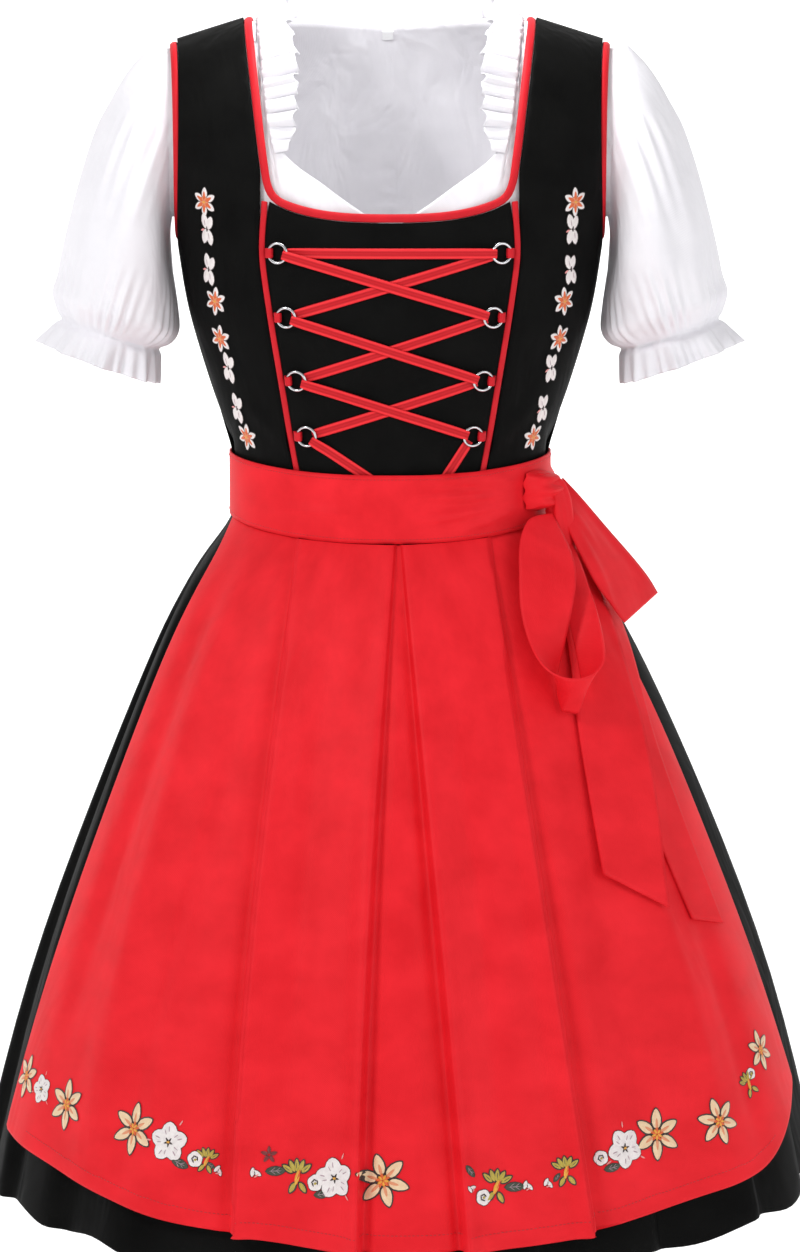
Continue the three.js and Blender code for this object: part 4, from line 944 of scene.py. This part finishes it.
def star_flower():
    """A star flower of six cream petals with peach bases and a golden middle."""
    return (outlined(petals("cream", 6, 3.6, 14.0, 7.0, 25))
            + petals("peach", 6, 3.4, 8.0, 3.2, 25, 0.95)
            + petals("dark", 6, 2.6, 5.0, 1.6, 55, 0.8)
            + petals("orange", 5, 0.2, 5.2, 2.6, 10, 1.0)
            + petals("gold", 5, 0.4, 3.8, 2.2, 46, 1.2))


def white_rose():
    """An open white blossom of five round petals, shaded in mauve, with a dark eye."""
    return (outlined(petals("white", 5, 1.2, 13.0, 12.0, 18, 0.7, 1.0), 1.0)
            + petals("mauve", 5, 6.8, 4.6, 1.5, 18, 0.95)
            + petals("mauve", 5, 5.2, 4.2, 1.1, 40, 0.85)
            + petals("white", 5, 7.4, 3.0, 1.2, 30, 1.1)
            + petals("dark", 5, 0.3, 3.4, 1.6, 54, 1.0)
            + petals("pink", 3, 14.2, 4.6, 1.1, 60, 0.4)
            + [("gold", 0, 0, 2.6, 2.4, 0, 1.25, 1.0)])


def leaf_sprig():
    """A sprig of olive leaves on a golden stem."""
    fan = [("olive", 3.4 * k, 6.8 - 0.55 * k * k, 8.6, 3.3, 90 - 27 * k, 0.7, 0.9) for k in (-2, -1, 0, 1, 2)]
    low = [("olive", 3.8 * k, -8.2, 7.8, 3.4, -90 + 34 * k, 0.7, 0.9) for k in (-1, 1)]
    return (outlined(fan + low)
            + [("gold", 0, -1.4, 11, 3.4, 74, 0.9, 1.0), ("orange", 1.4, 0.6, 7.5, 1.6, 70, 1.1, 1.0)]
            + [("green", 3.4 * k, 6.6 - 0.55 * k * k, 4.6, 0.8, 90 - 27 * k, 0.95, 0.9) for k in (-2, 0, 2)])


def curl():
    """A small white blossom with a dark curl in it."""
    ring = [("white", 2.9 * math.cos(a), 2.9 * math.sin(a), 7.2, 5.4, math.degrees(a) + 90, 0.6, 1.0)
            for a in (0.4, 1.65, 2.9, 4.15, 5.4)]
    inner = [("dark", 1.9 * math.cos(a), 1.9 * math.sin(a), 3.4, 1.3, math.degrees(a) + 80, 1.0, 1.0)
             for a in (0.2, 1.4, 2.6, 3.8)]
    return outlined(ring, 1.0) + inner + [("olive", 0.3, -0.4, 2.2, 1.8, 30, 1.15, 1.0)]


def leaf():
    """A pointed dark leaf with paler veins."""
    side_veins = [("mauve", x, y, 4.2, 0.6, turn, 0.8, 1.0)
                  for x, y, turn in ((-1.6, 1.2, 35), (-1.6, -1.2, -35), (2, 1, 35), (2, -1, -35))]
    vein = [("mauve", 0, 0, 10, 0.8, 0, 0.9, 1.0)]
    return outlined([("green", 0, 0, 14, 6.2, 0, 0.6, 1.0)], 1.0) + vein + side_veins


def bud():
    """A two-lobed bud, white and pink."""
    lobes = [("white", -1.4, 1.3, 7.0, 3.2, 62, 0.7, 1.0), ("white", 1.5, -0.6, 7.2, 3.2, 128, 0.7, 1.0)]
    marks = [("pink", 0.4, -2.2, 4.6, 1.3, 20, 0.9, 1.0), ("dark", 0.0, 0.6, 2.6, 0.9, 90, 0.95, 1.0)]
    return outlined(lobes, 1.0) + marks


def red_bud():
    """A bud in wine thread that barely shows on the red."""
    return petals("wine", 5, 0.6, 5.6, 2.8, 90, 0.5)


def small_star():
    """The bodice's star: short petals, orange inside and white at their tips."""
    return (outlined(petals("white", 6, 2.6, 8.4, 5.2, 30), 1.2)
            + petals("orange", 6, 1.2, 7.2, 3.7, 30, 0.95)
            + petals("peach", 6, 0.4, 3.8, 2.0, 60, 1.1)
            + [("gold", 0, 0, 3.0, 2.8, 0, 1.3, 1.0)])


def long_blossom():
    """The bodice's white blossom, drawn out along its stem."""
    pads = [("white", -2.2, 6.2, 11.5, 6.4, 105, 0.7, 1.0), ("white", 2.4, 5.0, 10.4, 6.2, 70, 0.7, 1.0),
            ("white", -2.4, -4.8, 11.0, 6.4, 78, 0.7, 1.0), ("white", 2.6, -5.4, 11.6, 6.4, 104, 0.7, 1.0)]
    marks = [("mauve", -1.8, 5.2, 5.0, 1.2, 100, 0.95, 1.0), ("mauve", 2.2, -4.4, 5.0, 1.2, 100, 0.95, 1.0),
             ("dark", 0.2, 0.6, 4.4, 2.0, 90, 1.0, 1.0), ("pink", -4.6, -0.4, 4.0, 1.6, 20, 0.6, 1.0)]
    return outlined(pads, 1.3) + marks


MOTIFS = {
    "star": star_flower(), "rose": white_rose(), "sprig": leaf_sprig(), "curl": curl(), "leaf": leaf(),
    "bud": bud(), "red bud": red_bud(), "small star": small_star(), "blossom": long_blossom(),
}
# The apron's border in six groups. Each motif: kind, x and z in mm, turn in degrees, scale.
APRON_BORDER = (
    (("star", -294, -843, 60, 0.86), ("rose", -280, -847, 20, 0.72), ("star", -257, -852, 10, 0.98)),
    (("star", -200, -857, 4, 1.0), ("rose", -172, -862, 0, 0.96), ("leaf", -163, -877, -20, 0.9),
     ("curl", -151, -873, 0, 0.95), ("sprig", -142, -873, -8, 0.72), ("leaf", -139, -877, -30, 0.5),
     ("bud", -133, -881, -20, 0.8)),
    (("bud", -104, -879, 20, 0.9), ("red bud", -93, -865, 0, 0.95), ("leaf", -88, -877, 4, 0.95),
     ("sprig", -71, -879, 6, 0.98), ("curl", -57, -883, 0, 0.98), ("leaf", -52, -891, 12, 0.8),
     ("rose", -42, -878, 12, 0.96), ("star", -5, -880, 20, 1.0)),
    (("leaf", 62, -871, -52, 0.7), ("bud", 63, -884, 60, 0.7), ("curl", 72, -892, 40, 0.95),
     ("sprig", 82, -884, -10, 0.95), ("leaf", 96, -886, 0, 0.95), ("bud", 106, -886, 10, 0.85)),
    (("bud", 122, -885, 0, 0.8), ("leaf", 129, -881, 50, 0.5), ("sprig", 136, -876, 6, 0.85),
     ("curl", 164, -872, 20, 0.9), ("leaf", 173, -880, 8, 0.85), ("rose", 183, -867, 30, 0.96),
     ("star", 209, -861, 0, 0.98)),
    (("star", 260, -857, 20, 0.92), ("sprig", 286, -836, 20, 0.75), ("curl", 288, -829, 0, 0.7),
     ("star", 297, -814, 70, 0.8)),
)
# The bodice's four motifs on one side, top down: star x and z, blossom x and z
BODICE_ROWS = (
    ((147, -139), (145, -161)),
    ((139, -218), (144, -193)),
    ((135.5, -248), (129, -272)),
    ((115, -328), (122.5, -305)),
)
MOTIF_SIZE = 1.16
MOTIF_RISE = 0.45  # how far every pad stands off the cloth, in mm
# Steps from a spot, in mm, over which the cloth's slope is averaged
SPOT_STEPS = ((0, 0), (-13, 0), (13, 0), (-20, 5), (20, 5), (0, -9), (0, 9), (-6, -6), (6, 6))


def surface_of(name):
    """The surface of a piece, for rays to meet."""
    shape = bmesh.new()
    shape.from_mesh(bpy.data.objects[name].data)
    tree = BVHTree.FromBMesh(shape)
    shape.free()
    return tree


def spot_on(tree, x, z):
    """The place and normal of the cloth seen from the front at x and z."""
    place, _, _, _ = tree.ray_cast(Vector((x, -1.0, z)), Vector((0, 1, 0)))
    total = Vector((0, 0, 0))
    for dx, dz in SPOT_STEPS:
        _, slope, _, _ = tree.ray_cast(Vector((x + dx * MM, -1.0, z + dz * MM)), Vector((0, 1, 0)))
        total += slope or Vector((0, 0, 0))
    return place, total.normalized()


def lay_motif(tree, kind, x, z, turn, scale, made):
    """Adds a motif's pads to the lists of points, faces, threads and UVs, laid on the cloth."""
    place, normal = spot_on(tree, x, z)
    right = Vector((0, 0, 1)).cross(-normal).normalized()
    if right.x < 0:
        right.negate()
    up = normal.cross(right).normalized()
    if up.z < 0:
        up.negate()
    points, faces, threads, maps = made
    for thread, middle_x, middle_y, length, width, pad_turn, height, blunt in MOTIFS[kind]:
        grid = grid_faces(len(PAD_STATIONS), len(PAD_ACROSS), len(points))
        faces += [(a, d, c, b) for a, b, c, d in grid]
        threads += [thread] * len(grid)
        for a, b, dome in pad_grid(length, width, blunt):
            u, v = turned(a, b, pad_turn)
            u, v = turned(middle_x + u, middle_y + v, turn)
            flat = place + (right * u + up * v) * (scale * MM)
            ground, _, _, _ = tree.ray_cast(flat + normal * 0.02, -normal, 0.06)
            rise = height * dome * 0.75 + MOTIF_RISE + 0.15 * height
            points.append((flat if ground is None else ground) + normal * (rise * scale * MM))
            maps.append((a * MM, b * MM))


def embroidered(name, tree, motifs):
    """One joined mesh of motifs on a piece of cloth."""
    made = ([], [], [], [])
    for kind, x, z, turn, scale in motifs:
        lay_motif(tree, kind, x * MM, z * MM, turn, scale * MOTIF_SIZE, made)
    points, faces, threads, maps = made
    mesh = new_mesh(name, points, faces, maps)
    used = sorted(set(threads))
    piece = link_piece(name, mesh, THREADS[used[0]], "trim")
    for thread in used[1:]:
        mesh.materials.append(THREADS[thread])
    mesh.polygons.foreach_set("material_index", [used.index(thread) for thread in threads])
    smooth_faces(piece)


def embroidery():
    tree = surface_of("apron_cloth")
    for number, group in enumerate(APRON_BORDER, 1):
        embroidered("apron_flowers_%d" % number, tree, group)
    for side, sign in SIDES:
        tree = surface_of("bodice_side_front_%s_cloth" % side)
        for number, (star, blossom) in enumerate(BODICE_ROWS, 1):
            high, low = (star, blossom) if star[1] > blossom[1] else (blossom, star)
            turn = sign * (math.degrees(math.atan2(high[1] - low[1], low[0] - high[0])) - 90)
            motifs = [(kind, sign * x, z, turn, scale)
                      for kind, (x, z), scale in (("small star", star, 0.92), ("blossom", blossom, 0.95))]
            embroidered("bodice_flowers_%s_%d" % (side, number), tree, motifs)


# Stitching

HEM_STITCH_INSET = 0.013
SASH_STITCH_INSET = 0.0035
# One stitch's points: share of its length and rise in mm, then side and rise in mm
STITCH_STATIONS = ((0, -0.15), (0.3, 0.22), (0.7, 0.22), (1, -0.15))
STITCH_ACROSS = ((-1, -0.1), (0, 0.16), (1, -0.1))
STITCH_RISE = 0.12
STITCH_END = 0.6  # how narrow its ends are


def stitch_row(name, places, length=2.3, gap=1.0, width=0.55):
    """A row of stitches as one joined mesh along places given as (point, normal), sized in mm."""
    points, faces = [], []
    run = [0.0]
    for (a, _), (b, _) in zip(places, places[1:]):
        run.append(run[-1] + (b - a).length)
    pitch = (length + gap) * MM
    step = 0
    for k in range(int(run[-1] / pitch)):
        while step < len(run) - 2 and run[step + 1] < k * pitch:
            step += 1
        (a, normal), (b, _) = places[step], places[step + 1]
        share = (k * pitch - run[step]) / max(run[step + 1] - run[step], 1e-9)
        along = (b - a).normalized()
        across = along.cross(normal).normalized()
        start = a.lerp(b, share)
        faces += grid_faces(len(STITCH_STATIONS), len(STITCH_ACROSS), len(points))
        for t, rise in STITCH_STATIONS:
            half = width / 2 * (STITCH_END if t in (0, 1) else 1)
            for side, low in STITCH_ACROSS:
                up = rise + low + STITCH_RISE
                points.append(start + (along * (t * length) + across * (side * half) + normal * up) * MM)
    mesh = new_mesh(name, points, faces, [(0.0001 * k, 0) for k in range(len(points))])
    smooth_faces(link_piece(name, mesh, THREADS["seam"], "trim"))


def edge_profile(name, highest, steps, first, last):
    """The lowest (or highest) height of a piece round the body, at even angles in degrees."""
    points = points_of(bpy.data.objects[name])
    angle, _ = around(points)
    found = []
    for a in np.radians(np.linspace(first, last, steps)):
        heights = points[np.abs(angle - a) < math.radians(1.2), 2]
        found.append((a, heights.max() if highest else heights.min()))
    return found


def row_on(tree, profile, inset):
    """Places on the outside of a piece, an inset away from its edge profile."""
    places = []
    for angle, height in profile:
        away = Vector((math.sin(angle), -math.cos(angle), 0))
        point, normal, _, _ = tree.ray_cast(away * 0.8 + Vector((0, 0, height + inset)), -away)
        if point is not None:
            places.append((point, normal))
    return places


def stitching():
    hem = edge_profile("apron_cloth", False, 150, -66, 64)
    stitch_row("apron_hem_stitches", row_on(surface_of("apron_cloth"), hem, HEM_STITCH_INSET))
    tree = surface_of("sash_band_cloth")
    for name, highest, inset in (("top", True, -SASH_STITCH_INSET), ("bottom", False, SASH_STITCH_INSET)):
        edge = edge_profile("sash_band_cloth", highest, 140, -178, 178)
        stitch_row("sash_%s_stitches" % name, row_on(tree, edge, inset), 1.9, 0.9, 0.4)


# Studio

FLOOR_DROP = 0.35  # below the hem
BACKDROP_PLACE = 9
PAPER_SIZE = 40
FLOOR_GLOW = 0.42
BACKDROP_GLOW = 0.7
ROOM_LIGHT = 0.52
# Lights: place, size in metres, power in watts and what each is aimed at
LIGHTS = (
    ("key light", (-1.8, -1.9, 1.4), 0.6, 33, (0, 0, -0.4)),
    ("fill light", (2.2, -2.4, 0.3), 1.6, 18, (0, 0, -0.5)),
    ("neck light", (0.0, -0.11, 0.17), 0.16, 1.1, (0, 0.07, -0.10)),
)


def studio_paper(name, glow, place, lean):
    """A wide plain sheet of studio paper, leant by an angle in degrees."""
    bpy.ops.mesh.primitive_plane_add(size=PAPER_SIZE, location=place, rotation=(math.radians(lean), 0, 0))
    paper = bpy.context.active_object
    paper.name = name
    paper.data.materials.append(paper_material(name.replace("_", " "), glow))
    return paper


def studio():
    floor = studio_paper("studio_floor", FLOOR_GLOW, (0, 0, HEM[2] - FLOOR_DROP), 0)
    backdrop = studio_paper("studio_backdrop", BACKDROP_GLOW, (0, BACKDROP_PLACE, 0), 90)
    world = bpy.data.worlds.new("soft studio light")
    bpy.context.scene.world = world
    world.use_nodes = True
    world.node_tree.nodes["Background"].inputs["Color"].default_value = (1, 1, 1, 1)
    world.node_tree.nodes["Background"].inputs["Strength"].default_value = ROOM_LIGHT
    bpy.context.scene.view_settings.view_transform = "Standard"
    for name, place, size, power, aim in LIGHTS:
        light = bpy.data.lights.new(name, "AREA")
        light.size = size
        light.energy = power
        lamp = bpy.data.objects.new(name, light)
        bpy.context.scene.collection.objects.link(lamp)
        lamp.location = place
        lamp.rotation_euler = (Vector(aim) - Vector(place)).to_track_quat("-Z", "Y").to_euler()


def camera():
    lens = bpy.data.cameras.new("camera")
    lens.lens = CAMERA_LENS
    lens.sensor_width = 36
    lens.clip_end = 50
    viewer = bpy.data.objects.new("camera", lens)
    bpy.context.scene.collection.objects.link(viewer)
    viewer.location = CAMERA_PLACE
    viewer.rotation_euler = (math.radians(CAMERA_TILT), 0, 0)
    bpy.context.scene.camera = viewer


camera()
studio()
skirt()
apron()
bodice()
blouse()
for side_name, side_sign in SIDES:
    sleeve(side_name, side_sign)
for side_name, side_sign in SIDES:
    neck_frill(side_name, side_sign)
sash()
trims()
lacing()
rings()
embroidery()
stitching()
nodes["size_tab"].data.materials.clear()
nodes["size_tab"].data.materials.append(LABEL)
